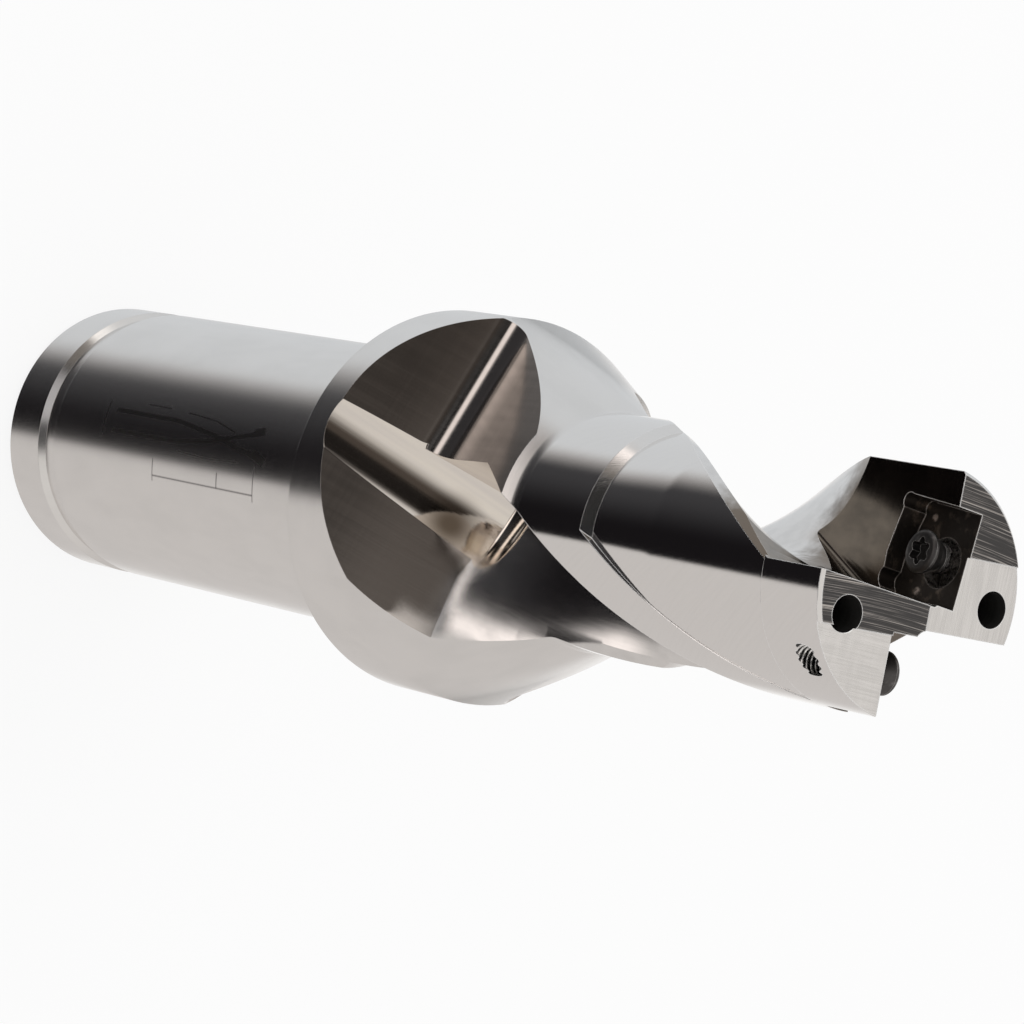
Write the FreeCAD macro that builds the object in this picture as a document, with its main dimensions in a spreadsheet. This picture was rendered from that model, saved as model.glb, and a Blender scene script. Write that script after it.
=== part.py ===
import FreeCAD, Part
import Sketcher
import math
import os
import re

# Indexable drill, two times diameter deep, on a cylindrical shank with a flange.
# Millimetres. The axis is Z: the shank's rear face is at zero and the cutting end points up.
# Land one ends on the side of positive X and negative Y, land two on the opposite side.

os.makedirs("parts", exist_ok=True)
doc = FreeCAD.newDocument("indexable_drill")
Vector = FreeCAD.Vector

# Driving sizes

SIZES = {
    # Shank and flange
    "shank_radius": 12.5,
    "shank_length": 56,
    "shank_edge": 0.8,
    "ring_start": 6.1,
    "ring_width": 2.9,
    "ring_depth": 0.5,
    "ring_slope": 0.6,
    "flange_radius": 16.6,
    "flange_length": 8.5,
    "flange_edge": 0.25,
    "cone_angle": 24,
    "cone_round": 2.5,

    # Drill body
    "body_radius": 9.95,
    "body_length": 63,
    "front_edge": 0.25,
    "helix_lead": 114,
    "runout_lead": 152,
    "runout_height": 24,
    "straight_length": 7,

    # Coolant supply
    "inlet_radius": 7,
    "inlet_short": 10,
    "inlet_edge": 1,
    "inlet_point": 30,
    "coolant_radius": 1.45,
    "coolant_straight": 19,
    "coolant_overlap": 4,
    "channel_sides": 8,
    "coolant_one_x": 2.53,
    "coolant_one_y": -6.85,
    "coolant_two_x": 0.2,
    "coolant_two_y": 7.59,

    # Section of flute one, between the face of land one and the back of land two
    "web_one_x": 2.9,
    "web_one_y": 1.1,
    "web_one_round": 2.5,
    "face_one_y": 1.56,
    "back_two_x": 2.39,
    "back_two_y": 8.87,
    "lip_two_side": 7.2,
    "lip_two_out": 10.3,
    "slow_two_x": 2,
    "slow_two_y": 8.9,
    "slow_two_side": 3.45,
    "slow_two_out": 12.1,

    # Section of flute two, between the face of land two and the back of land one
    "web_two_x": 0.7,
    "web_two_y": 0.7,
    "web_two_round": 3,
    "face_two_y": -0.24,
    "back_one_x": -0.98,
    "back_one_y": -9.14,
    "lip_one_side": 8.8,
    "lip_one_out": 9,
    "slow_one_x": -0.58,
    "slow_one_y": -9.1,
    "slow_one_side": 5.3,
    "slow_one_out": 11.4,

    "sweep_reach": 20,
    "trim_foot": 28,
    "trim_foot_fall": 1,

    # Milled runout of the flutes in the flange
    "scoop_azimuth": 246,
    "scoop_slope": 37,
    "scoop_height": 3.6,
    "scoop_floor": 8.9,
    "scoop_floor_end": 10.2,
    "scoop_reach": 22,
    "scoop_round": 4,
    "trough_shift": 3.5,
    "trough_turn": 4,
    "trough_tilt": 2.5,
    "trough_radius": 5.4,
    "trough_depth": 0.45,
    "ridge_shift": 0.2,
    "ridge_height": 24,
    "trough_length": 20,
    "trough_skin": 0.05,

    # Relieved part of the lands behind the leading margins
    "relief_start": 32.6,
    "relief_ramp": 1,
    "relief_fade": 9,
    "relief_depth": 0.6,
    "relief_shallow": 0.09,
    "margin_one": 345,
    "margin_two": 157,
    "relief_sector": 94,
    "sector_inner": 7,
    "sector_outer": 14,
    "beyond": 2,

    # Straight faces at the cutting end
    "end_one_y": 0.2,
    "end_one_x": 2.68,
    "end_one_round": 1.2,
    "end_two_y": 2.05,
    "end_two_x": 0.84,
    "end_two_round": 0.5,
    "end_one_rise": 0.067,
    "end_two_lean": 0.11,
    "end_two_rise": 0.15,
    "end_ramp": 8.5,
    "end_ramp_width": 4.1,
    "end_ramp_length": 7.9,

    # Insert pocket in land one, near the outer diameter
    "outer_floor_y": -2,
    "outer_wall_x": 3.25,
    "outer_back": 6,
    "outer_screw_x": 6.45,
    "outer_screw_z": 2.55,

    # Insert pocket in land two, near the centre
    "inner_floor_y": 4.05,
    "inner_floor_x": -2.95,
    "inner_tilt": 6.4,
    "inner_screw_z": 3.3,
    "inner_side_low": 4.25,
    "inner_side_high": 3.65,
    "inner_back_side": 5.95,
    "inner_back_inner": 7.25,
    "inner_back_turn": 0.4,
    "inner_end": 3.8,
    "inner_notch_radius": 0.9,
    "inner_notch_x": 2.4,
    "inner_notch_z": 6.75,
    "pocket_clear": 3,
    "corner_hole": 0.7,
    "corner_shift": 0.23,
    "inner_corner_shift": 0.65,
    "crescent_radius": 2,
    "crescent_depth": 0.25,
    "crescent_shift": 0.35,
    "outer_pocket_clear": 2.8,

    # Front faces
    "front_one_x": 3.5,
    "front_one_drop": 0.12,
    "front_two_left": -3.35,
    "front_two_width": 6.2,
    "front_two_y": 1.1,
    "front_two_drop": 0.2,
    "front_slope": 1.5,

    # Clamping screws, whose heads stand above the floor by the insert's thickness
    "screw_radius": 1.25,
    "screw_hole_gap": 0.03,
    "screw_length": 5,
    "head_radius": 1.73,
    "head_rim": 0.25,
    "head_angle": 30,
    "head_crown": 1.45,
    "head_crown_height": 0.2,
    "head_lift": 2.25,
    "tip_edge": 0.35,
    "recess_radius": 0.8,
    "recess_depth": 0.85,
    "lobe_radius": 0.27,
    "lobe_circle": 0.87,
    "lobe_count": 6,
    "inner_hole_depth": 3,
    "outer_hole_depth": 8,
}

sheet = doc.addObject("Spreadsheet::Sheet", "Sizes")
for row, (alias, number) in enumerate(SIZES.items(), 1):
    sheet.set("A%d" % row, alias.replace("_", " "))
    sheet.set("B%d" % row, str(number))
    sheet.setAlias("B%d" % row, alias)
doc.recompute()


# Drawing and cutting by named size

def formula(text):
    """The text with each alias written as the sheet's own."""
    def named(match):
        word = match.group(0)
        return "Sizes." + word if word in SIZES else word
    return re.sub(r"[a-z][a-z0-9_]*", named, str(text))


def value(text):
    return float(sheet.evalExpression(formula(text)))


def bind(thing, **properties):
    """Ties properties of an object to formulas of the driving sizes."""
    for name, text in properties.items():
        thing.setExpression(name.replace("__", "."), formula(text))


def origin_of(body, role):
    for feature in body.Origin.OriginFeatures:
        if feature.Role == role:
            return feature


def sketch_on(body, name, role, move=("0", "0", "0"), axis=Vector(0, 0, 1), turn="0"):
    """An empty sketch on one of the body's own planes, moved and turned by formulas."""
    sketch = body.newObject("Sketcher::SketchObject", name)
    sketch.AttachmentSupport = [(origin_of(body, role), "")]
    sketch.MapMode = "FlatFace"
    sketch.AttachmentOffset = FreeCAD.Placement(Vector(0, 0, 0), FreeCAD.Rotation(axis, 1))
    bind(sketch, AttachmentOffset__Base__x=move[0], AttachmentOffset__Base__y=move[1],
         AttachmentOffset__Base__z=move[2], AttachmentOffset__Rotation__Angle=turn)
    return sketch


def fix_point(sketch, geometry, point, across, along):
    """Holds a point of the sketch at formulas of its two coordinates."""
    for kind, text, axis in (("DistanceX", across, -2), ("DistanceY", along, -1)):
        if text == "0":
            sketch.addConstraint(Sketcher.Constraint("PointOnObject", geometry, point, axis))
            continue
        index = sketch.addConstraint(
            Sketcher.Constraint(kind, -1, 1, geometry, point, value(text)))
        sketch.setExpression("Constraints[%d]" % index, formula(text))


def outline(sketch, corners):
    """A closed outline. A corner with a third entry is rounded to that radius."""
    count = len(corners)
    points = [Vector(value(corner[0]), value(corner[1]), 0) for corner in corners]
    starts = []
    ends = []
    centres = []
    for index, corner in enumerate(corners):
        point = points[index]
        back = (points[index - 1] - point).normalize()
        ahead = (points[(index + 1) % count] - point).normalize()
        radius = value(corner[2]) if len(corner) > 2 else 0
        half = back.getAngle(ahead) / 2
        reach = radius / math.tan(half)
        ends.append(point + back * reach)
        starts.append(point + ahead * reach)
        centres.append(point + (back + ahead).normalize() * (radius / math.sin(half)))
    lines = []
    for index in range(count):
        line = Part.LineSegment(starts[index], ends[(index + 1) % count])
        lines.append(sketch.addGeometry(line))
    for index, corner in enumerate(corners):
        before = lines[index - 1]
        after = lines[index]
        if len(corner) == 2:
            sketch.addConstraint(Sketcher.Constraint("Coincident", before, 2, after, 1))
            fix_point(sketch, after, 1, corner[0], corner[1])
            continue
        first = ends[index] - centres[index]
        second = starts[index] - centres[index]
        ccw = first.cross(second).z > 0
        turn_from = math.atan2(first.y, first.x) if ccw else math.atan2(second.y, second.x)
        turn_to = math.atan2(second.y, second.x) if ccw else math.atan2(first.y, first.x)
        if turn_to < turn_from:
            turn_to += 2 * math.pi
        circle = Part.Circle(centres[index], Vector(0, 0, 1), first.Length)
        arc = sketch.addGeometry(Part.ArcOfCircle(circle, turn_from, turn_to))
        mark = sketch.addGeometry(Part.Point(points[index]), True)
        entry = 1 if ccw else 2
        sketch.addConstraint(Sketcher.Constraint("Tangent", before, 2, arc, entry))
        sketch.addConstraint(Sketcher.Constraint("Tangent", after, 1, arc, 3 - entry))
        sketch.addConstraint(Sketcher.Constraint("PointOnObject", mark, 1, before))
        sketch.addConstraint(Sketcher.Constraint("PointOnObject", mark, 1, after))
        fix_point(sketch, mark, 1, corner[0], corner[1])
        held = sketch.addConstraint(
            Sketcher.Constraint("Radius", arc, first.Length))
        sketch.setExpression("Constraints[%d]" % held, formula(corner[2]))


def circle_at(sketch, across, along, radius):
    centre = Vector(value(across), value(along), 0)
    index = sketch.addGeometry(Part.Circle(centre, Vector(0, 0, 1), value(radius)))
    fix_point(sketch, index, 3, across, along)
    held = sketch.addConstraint(Sketcher.Constraint("Radius", index, value(radius)))
    sketch.setExpression("Constraints[%d]" % held, formula(radius))


def turned(body, name, corners):
    """A solid of revolution about Z from its outline of radius and height."""
    sketch = sketch_on(body, name + "_section", "XZ_Plane")
    outline(sketch, corners)
    feature = body.newObject("PartDesign::Revolution", name)
    feature.Profile = sketch
    feature.ReferenceAxis = (origin_of(body, "Z_Axis"), [""])
    feature.Angle = 360
    return feature


def straight(body, kind, name, sketch, length, both=False, reverse=False, along=None):
    """A pad or a pocket of a sketch to a length given as a formula."""
    feature = body.newObject("PartDesign::" + kind, name)
    feature.Profile = sketch
    feature.Midplane = both
    feature.Reversed = reverse
    if along:
        feature.UseCustomVector = True
        feature.AlongSketchNormal = False
        feature.Direction = along
    bind(feature, Length=length)
    return feature


def wound(body, name, sketch, height, subtract=False, down=False, lead="helix_lead"):
    """A sweep of a sketch along the lead of the flutes, or another."""
    kind = "PartDesign::SubtractiveHelix" if subtract else "PartDesign::AdditiveHelix"
    feature = body.newObject(kind, name)
    feature.Profile = sketch
    feature.ReferenceAxis = (origin_of(body, "Z_Axis"), [""])
    feature.Mode = 0
    feature.LeftHanded = False
    feature.Reversed = down
    bind(feature, Pitch=lead, Height=height)
    return feature


def combined(body, name, kind, tools):
    feature = body.newObject("PartDesign::Boolean", name)
    feature.Type = kind
    feature.addObjects(tools)
    return feature


def rounded_edges(body, name, base, radius, wanted):
    """A fillet on those edges of a feature whose middle point is wanted."""
    doc.recompute()
    names = []
    for index, edge in enumerate(base.Shape.Edges):
        middle = edge.valueAt((edge.FirstParameter + edge.LastParameter) / 2)
        if wanted(middle):
            names.append("Edge%d" % (index + 1))
    feature = body.newObject("PartDesign::Fillet", name)
    feature.Base = (base, names)
    bind(feature, Radius=radius)
    return feature


def new_body(name):
    body = doc.addObject("PartDesign::Body", name)
    body.Label = name
    return body


total = "shank_length + body_length"
flange_front = "shank_length + flange_length"
flute_top = total + " - straight_length"
rim_beyond = "flange_radius + beyond"
scoop_rim = "(shank_length + scoop_height)"
scoop_end = "shank_length + scoop_reach"
runout_top = "(shank_length + runout_height)"
ridge_end = "shank_length + ridge_height"
inlet_depth = "(shank_length - inlet_short)"



# Turned blank of the drill, from the shank's rear face to the cutting end

drill = new_body("drill_body")
turned(drill, "blank", [
    ("0", "0"),
    ("shank_radius - shank_edge", "0"),
    ("shank_radius", "shank_edge"),
    ("shank_radius", "ring_start"),
    ("shank_radius - ring_depth", "ring_start + ring_slope"),
    ("shank_radius - ring_depth", "ring_start + ring_width - ring_slope"),
    ("shank_radius", "ring_start + ring_width"),
    ("shank_radius", "shank_length"),
    ("flange_radius - flange_edge", "shank_length"),
    ("flange_radius", "shank_length + flange_edge"),
    ("flange_radius", flange_front),
    ("body_radius", flange_front + " + (flange_radius - body_radius) / tan(cone_angle * 1deg)",
     "cone_round"),
    ("body_radius", total + " - front_edge"),
    ("body_radius - front_edge", total),
    ("0", total)])


def beside(shift, azimuth):
    """The move that sets a sketch turned about Z beside the axis by a named distance."""
    return ("-%s * sin((%s) * 1deg)" % (shift, azimuth), "0",
            "-%s * cos((%s) * 1deg)" % (shift, azimuth))


# Flutes, each swept along the lead and ended by the slanting plane milled in the flange

def flute(name, corners, lip, slow_lip, azimuth):
    """The form of one flute, drawn at the cutting end and wound down to its runout."""
    body = new_body(name)
    section = sketch_on(body, name + "_section", "XY_Plane", ("0", "0", flute_top))
    outline(section, corners + lip)
    wound(body, name + "_sweep", section, flute_top + " - shank_length", down=True)
    slower = sketch_on(body, name + "_slower_section", "XY_Plane", ("0", "0", runout_top),
                       axis=Vector(0, 0, -1),
                       turn="(" + flute_top + " - " + runout_top + ") * 360 / helix_lead")
    outline(slower, corners + slow_lip)
    wound(body, name + "_slower_sweep", slower, "runout_height", down=True,
          lead="runout_lead")
    trim = sketch_on(body, name + "_runout", "XZ_Plane", axis=Vector(0, 1, 0), turn=azimuth)
    outline(trim, [
        ("2 * sweep_reach", scoop_rim + " + (flange_radius - 2 * sweep_reach) * " + incline),
        ("-2 * sweep_reach", scoop_rim + " + (flange_radius + 2 * sweep_reach) * " + incline),
        ("-2 * sweep_reach", "shank_length - trim_foot"),
        ("2 * sweep_reach", "shank_length - trim_foot - trim_foot_fall")])
    straight(body, "Pocket", name + "_end", trim, "4 * sweep_reach", both=True)
    shoulder = sketch_on(body, name + "_shoulder_side", "XZ_Plane",
                         beside("ridge_shift", azimuth), axis=Vector(0, 1, 0), turn=azimuth)
    outline(shoulder, [
        ("-2 * sweep_reach", "shank_length - trim_foot"),
        ("2 * sweep_reach", "shank_length - trim_foot"),
        ("2 * sweep_reach", ridge_end),
        ("-2 * sweep_reach", ridge_end)])
    straight(body, "Pocket", name + "_shoulder", shoulder, "2 * sweep_reach", reverse=True)
    return body


incline = "tan(scoop_slope * 1deg)"
second_scoop = "scoop_azimuth - 180"
flute_one = flute("flute_one", [
    ("web_one_x", "web_one_y", "web_one_round"),
    ("sweep_reach", "face_one_y + beyond / 2"),
    ("sweep_reach", "sweep_reach")], [
    ("back_two_x - lip_two_side", "back_two_y + lip_two_out"),
    ("back_two_x", "back_two_y")], [
    ("slow_two_x - slow_two_side", "slow_two_y + slow_two_out"),
    ("slow_two_x", "slow_two_y")], "scoop_azimuth")
flute_two = flute("flute_two", [
    ("web_two_x", "web_two_y", "web_two_round"),
    ("-sweep_reach", "face_two_y - beyond / 2"),
    ("-sweep_reach", "-sweep_reach")], [
    ("back_one_x + lip_one_side", "back_one_y - lip_one_out"),
    ("back_one_x", "back_one_y")], [
    ("slow_one_x + slow_one_side", "slow_one_y - slow_one_out"),
    ("slow_one_x", "slow_one_y")], second_scoop)


# Runout in the flange, a flat shelf over the land and a rounded trough down the slope

def scoop(name, azimuth):
    body = new_body(name)
    side = sketch_on(body, name + "_side", "XZ_Plane", axis=Vector(0, 1, 0), turn=azimuth)
    outline(side, [
        (rim_beyond, scoop_rim + " - beyond * " + incline),
        (rim_beyond, scoop_end),
        ("scoop_floor_end", scoop_end),
        ("scoop_floor", scoop_rim + " + (flange_radius - scoop_floor) * " + incline,
         "scoop_round")])
    straight(body, "Pad", name + "_shelf", side, "2 * sweep_reach", both=True)
    return body


def trough(name, azimuth):
    """The rounded groove that runs down the slope beside the shelf."""
    body = new_body(name)
    across = rim_beyond + " + (trough_radius - trough_depth) * sin(scoop_slope * 1deg)"
    height = (scoop_rim + " - beyond * " + incline
              + " + (trough_radius - trough_depth) * cos(scoop_slope * 1deg)")
    axis = sketch_on(body, name + "_axis", "XZ_Plane", (across, height, "-trough_shift"),
                     turn="90 - scoop_slope + trough_tilt")
    outline(axis, [
        ("0", "0"),
        ("trough_radius", "0"),
        ("trough_radius", "trough_length"),
        ("0", "trough_length")])
    round_bar = body.newObject("PartDesign::Revolution", name + "_round")
    round_bar.Profile = axis
    round_bar.ReferenceAxis = (axis, ["V_Axis"])
    round_bar.Angle = 360
    above = sketch_on(body, name + "_above", "XZ_Plane",
                      (rim_beyond, scoop_rim + " - beyond * " + incline, "0"),
                      turn="90 - scoop_slope")
    outline(above, [
        ("trough_skin", "-trough_radius"),
        ("trough_skin", "trough_length + trough_radius"),
        ("3 * trough_radius", "trough_length + trough_radius"),
        ("3 * trough_radius", "-trough_radius")])
    straight(body, "Pocket", name + "_slice", above, "4 * trough_radius", both=True)
    body.setExpression("Placement", formula(
        "placement(vector(0; 0; 0); rotation(vector(0; 0; 1); " + azimuth + " - trough_turn))"))
    return body


# Relieved surface behind the leading margin of a land

def relief(name, margin):
    ring = new_body(name)
    turned(ring, name + "_ring", [
        ("body_radius", "shank_length + relief_start"),
        ("body_radius - relief_depth", "shank_length + relief_start + relief_ramp"),
        ("body_radius - relief_shallow", "shank_length + relief_start + relief_fade"),
        ("body_radius - relief_shallow", flute_top),
        ("sector_outer", flute_top),
        ("sector_outer", "shank_length + relief_start")])
    sector = new_body(name + "_sector")
    section = sketch_on(sector, name + "_section", "XY_Plane", ("0", "0", flute_top),
                        turn=margin)
    outline(section, [
        ("sector_inner", "0"),
        ("sector_outer", "0"),
        ("2 * sector_outer * cos(relief_sector * 0.5deg)",
         "-2 * sector_outer * sin(relief_sector * 0.5deg)"),
        ("sector_outer * cos(relief_sector * 1deg)",
         "-sector_outer * sin(relief_sector * 1deg)"),
        ("sector_inner * cos(relief_sector * 1deg)",
         "-sector_inner * sin(relief_sector * 1deg)")])
    wound(sector, name + "_sweep", section, "body_length - straight_length - relief_start + beyond",
          down=True)
    combined(ring, name + "_part", "Common", [sector])
    return ring


# Straight faces that the flutes end in at the cutting end

def end_cut(name, side, wall_x, wall_y, radius, lean, rise):
    """The form between a land's straight face and the other land's straight back."""
    body = new_body(name)
    sketch = sketch_on(body, name + "_side", "XZ_Plane", ("0", "0", "-" + wall_y))
    outline(sketch, [
        (wall_x, total + " + beyond"),
        (wall_x, total + " - end_ramp"),
        ("%s %s end_ramp_width" % (wall_x, side), total + " - end_ramp - end_ramp_length"),
        ("%s sweep_reach" % side.strip("+ "), total + " - end_ramp - end_ramp_length"),
        ("%s sweep_reach" % side.strip("+ "), total + " + beyond")])
    heading = 1 if side == "+" else -1
    pad = straight(body, "Pad", name + "_block", sketch, "sweep_reach",
                   along=Vector(heading * value(lean), heading, value(rise)))
    plane_y = value(wall_y)
    corner_x = value(wall_x)
    reach = value("end_ramp_width")
    top = value(total)

    def inner(middle):
        close = abs(middle.x - corner_x) < reach and middle.z < top
        return close and abs(middle.y - plane_y) < 0.01
    rounded_edges(body, name + "_corner", pad, radius, inner)
    return body


tools = [flute_one, flute_two,
         scoop("shelf_one", "scoop_azimuth"), scoop("shelf_two", second_scoop),
         trough("trough_one", "scoop_azimuth"), trough("trough_two", second_scoop),
         relief("relief_one", "margin_one"), relief("relief_two", "margin_two"),
         end_cut("end_one", "+", "end_one_x", "end_one_y", "end_one_round",
                 "0", "end_one_rise"),
         end_cut("end_two", "-", "end_two_x", "end_two_y", "end_two_round",
                 "end_two_lean", "end_two_rise")]
combined(drill, "flutes_and_ends", "Cut", tools)


# Front faces, which fall away from the cutting edges

fall = "tan(front_slope * 1deg)"
front_one = sketch_on(drill, "front_one_side", "YZ_Plane", ("0", "0", "front_one_x"))
outline(front_one, [
    ("beyond", total + " - front_one_drop + beyond * " + fall),
    ("-body_radius - beyond",
     total + " - front_one_drop - (body_radius + beyond) * " + fall),
    ("-body_radius - beyond", total + " + beyond"),
    ("beyond", total + " + beyond")])
straight(drill, "Pocket", "front_one", front_one, "body_radius", reverse=True)
front_two = sketch_on(drill, "front_two_side", "YZ_Plane", ("0", "0", "front_two_left"))
outline(front_two, [
    ("front_two_y", total + " - front_two_drop"),
    ("body_radius + beyond",
     total + " - front_two_drop - (body_radius + beyond) * " + fall),
    ("body_radius + beyond", total + " + beyond"),
    ("front_two_y", total + " + beyond")])
straight(drill, "Pocket", "front_two", front_two, "front_two_width", reverse=True)


# Insert pocket in land one, near the outer diameter, open to the front and the side

outer = sketch_on(drill, "outer_pocket_side", "XZ_Plane", ("0", "0", "-outer_floor_y"))
outline(outer, [
    ("outer_wall_x", total + " - outer_back"),
    ("sweep_reach", total + " - outer_back"),
    ("sweep_reach", total + " + beyond"),
    ("outer_wall_x", total + " + beyond")])
straight(drill, "Pocket", "outer_pocket", outer, "outer_pocket_clear")
outer_relief = sketch_on(drill, "outer_corner_side", "XZ_Plane", ("0", "0", "-outer_floor_y"))
circle_at(outer_relief, "outer_wall_x + corner_shift",
          total + " - outer_back + corner_shift", "corner_hole")
straight(drill, "Pocket", "outer_corner", outer_relief, "outer_pocket_clear")
outer_hole = sketch_on(drill, "outer_hole_side", "XZ_Plane", ("0", "0", "-outer_floor_y"))
circle_at(outer_hole, "outer_screw_x", total + " - outer_screw_z",
          "screw_radius + screw_hole_gap")
straight(drill, "Pocket", "outer_hole", outer_hole, "outer_hole_depth", reverse=True)


# Insert pocket in land two, near the centre, with its floor tilted about the axis

def on_inner_floor(name):
    return sketch_on(drill, name, "XZ_Plane", ("inner_floor_x", "0", "-inner_floor_y"),
                     axis=Vector(0, -1, 0), turn="inner_tilt")


inner = on_inner_floor("inner_pocket_side")
outline(inner, [
    ("-inner_side_low", total + " - inner_back_side"),
    ("inner_back_turn", total + " - inner_back_inner"),
    ("inner_end", total + " - inner_back_inner"),
    ("inner_end", total + " + beyond"),
    ("-inner_side_high", total + " + beyond")])
straight(drill, "Pocket", "inner_pocket", inner, "pocket_clear", reverse=True)
inner_relief = on_inner_floor("inner_corner_side")
circle_at(inner_relief, "-inner_side_low + inner_corner_shift",
          total + " - inner_back_side + corner_shift",
          "corner_hole")
straight(drill, "Pocket", "inner_corner", inner_relief, "pocket_clear", reverse=True)
inner_notch = on_inner_floor("inner_notch_side")
circle_at(inner_notch, "inner_notch_x", total + " - inner_notch_z", "inner_notch_radius")
straight(drill, "Pocket", "inner_notch", inner_notch, "pocket_clear", reverse=True)
crescent = on_inner_floor("crescent_side")
circle_at(crescent, "crescent_shift", total + " - inner_screw_z + crescent_shift",
          "crescent_radius")
straight(drill, "Pocket", "crescent", crescent, "crescent_depth")
inner_hole = on_inner_floor("inner_hole_side")
circle_at(inner_hole, "0", total + " - inner_screw_z", "screw_radius + screw_hole_gap")
straight(drill, "Pocket", "inner_hole", inner_hole, "inner_hole_depth")


# Coolant supply, one bore in the shank and a channel wound through each land

inlet = sketch_on(drill, "inlet_side", "XZ_Plane")
outline(inlet, [
    ("0", "-beyond"),
    ("inlet_radius + inlet_edge + beyond", "-beyond"),
    ("inlet_radius", "inlet_edge"),
    ("inlet_radius", inlet_depth),
    ("0", inlet_depth + " + inlet_radius * tan(inlet_point * 1deg)")])
inlet_cut = drill.newObject("PartDesign::Groove", "inlet")
inlet_cut.Profile = inlet
inlet_cut.ReferenceAxis = (origin_of(drill, "Z_Axis"), [""])
inlet_cut.Angle = 360
for name, across, along in (("one", "coolant_one_x", "coolant_one_y"),
                            ("two", "coolant_two_x", "coolant_two_y")):
    level = total + " - coolant_straight"
    outlet = sketch_on(drill, "outlet_%s_side" % name, "XY_Plane", ("0", "0", level))
    circle_at(outlet, across, along, "coolant_radius")
    straight(drill, "Pocket", "outlet_" + name, outlet, "coolant_straight + beyond",
             reverse=True)
    channel = sketch_on(drill, "channel_%s_side" % name, "XY_Plane", ("0", "0", level))
    outline(channel, [
        ("%s + coolant_radius * cos(%d * 360deg / channel_sides)" % (across, side),
         "%s + coolant_radius * sin(%d * 360deg / channel_sides)" % (along, side))
        for side in range(int(value("channel_sides")))])
    wound(drill, "channel_" + name, channel, level + " - " + inlet_depth + " + coolant_overlap",
          subtract=True, down=True)


# Clamping screws, each standing on the floor of its pocket

def clamping_screw(name, placement):
    body = new_body(name)
    cone_foot = ("head_lift - head_crown_height - head_rim"
                 " - (head_radius - screw_radius) / tan(head_angle * 1deg)")
    tip = "head_lift - screw_length"
    turned(body, name + "_turned", [
        ("0", tip),
        ("screw_radius - tip_edge", tip),
        ("screw_radius", tip + " + tip_edge"),
        ("screw_radius", cone_foot),
        ("head_radius", "head_lift - head_crown_height - head_rim"),
        ("head_radius", "head_lift - head_crown_height"),
        ("head_crown", "head_lift"),
        ("0", "head_lift")])
    middle = sketch_on(body, name + "_middle", "XY_Plane", ("0", "0", "head_lift"))
    circle_at(middle, "0", "0", "recess_radius")
    straight(body, "Pocket", name + "_recess", middle, "recess_depth")
    lobe = sketch_on(body, name + "_lobe_side", "XY_Plane", ("0", "0", "head_lift"))
    circle_at(lobe, "lobe_circle", "0", "lobe_radius")
    cut = straight(body, "Pocket", name + "_lobe", lobe, "recess_depth")
    lobes = body.newObject("PartDesign::PolarPattern", name + "_lobes")
    lobes.Originals = [cut]
    lobes.Axis = (origin_of(body, "Z_Axis"), [""])
    lobes.Angle = 360
    body.Tip = lobes
    bind(lobes, Occurrences="lobe_count")
    body.setExpression("Placement", formula(placement))
    return body


outer_screw = clamping_screw(
    "peripheral_insert_screw",
    "placement(vector(outer_screw_x; outer_floor_y; " + total + " - outer_screw_z);"
    " rotation(vector(1; 0; 0); -90))")
inner_screw = clamping_screw(
    "central_insert_screw",
    "placement(vector(inner_floor_x; inner_floor_y; " + total + " - inner_screw_z);"
    " rotation(vector(0; 0; 1); -inner_tilt) * rotation(vector(1; 0; 0); 90))")


# Soundness of every feature, and the files

doc.recompute()
for thing in doc.Objects:
    if "Invalid" in thing.State or "Error" in thing.State:
        raise RuntimeError("%s is %s" % (thing.Name, thing.State))
for piece in (drill, outer_screw, inner_screw):
    if piece.Shape.isNull() or not piece.Shape.isValid() or len(piece.Shape.Solids) != 1:
        raise RuntimeError("%s is not one sound solid" % piece.Label)
    piece.Shape.exportStep("parts/%s.step" % piece.Label)
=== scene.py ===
import math

import bpy
from mathutils import Matrix, Vector


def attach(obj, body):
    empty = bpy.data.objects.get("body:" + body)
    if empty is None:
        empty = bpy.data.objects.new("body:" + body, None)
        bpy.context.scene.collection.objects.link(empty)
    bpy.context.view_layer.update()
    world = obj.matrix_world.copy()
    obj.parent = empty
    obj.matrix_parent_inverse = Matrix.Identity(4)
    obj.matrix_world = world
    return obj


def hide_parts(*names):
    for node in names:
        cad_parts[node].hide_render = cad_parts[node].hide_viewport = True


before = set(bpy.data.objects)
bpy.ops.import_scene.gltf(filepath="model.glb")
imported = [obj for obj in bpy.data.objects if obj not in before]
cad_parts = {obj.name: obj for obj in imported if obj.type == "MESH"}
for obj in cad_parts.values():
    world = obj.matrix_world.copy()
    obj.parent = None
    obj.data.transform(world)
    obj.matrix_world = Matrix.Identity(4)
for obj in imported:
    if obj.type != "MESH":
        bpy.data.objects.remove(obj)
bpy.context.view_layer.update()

bl_info = {
    "name": "Indexable drill",
    "version": (1, 0, 0),
    "blender": (4, 5, 0),
    "location": "3D View > Sidebar > Drill",
    "description": "An indexable drill of nickelled steel and its clamping screws",
    "category": "Add Mesh",
}

mm = 0.001
micron = 0.001 * mm
BEYOND = 2 * mm
"""How far the forms that cut reach out of the part."""


def length(label, millimetres, text):
    return bpy.props.FloatProperty(name=label, description=text, default=millimetres * mm,
                                   min=0, unit="LENGTH", precision=5)


def place(label, millimetres, text):
    return bpy.props.FloatProperty(name=label, description=text, default=millimetres * mm,
                                   unit="LENGTH", precision=5)


def angle(label, degrees, text):
    return bpy.props.FloatProperty(name=label, description=text,
                                   default=math.radians(degrees), unit="ROTATION")


def colour(label, red, green, blue, text):
    return bpy.props.FloatVectorProperty(name=label, description=text, subtype="COLOR", size=3,
                                         min=0, max=1, default=(red, green, blue))


def amount(label, share, text):
    return bpy.props.FloatProperty(name=label, description=text, default=share,
                                   min=0, max=1, subtype="FACTOR")


# Sizes and colours that can be changed in the sidebar

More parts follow.
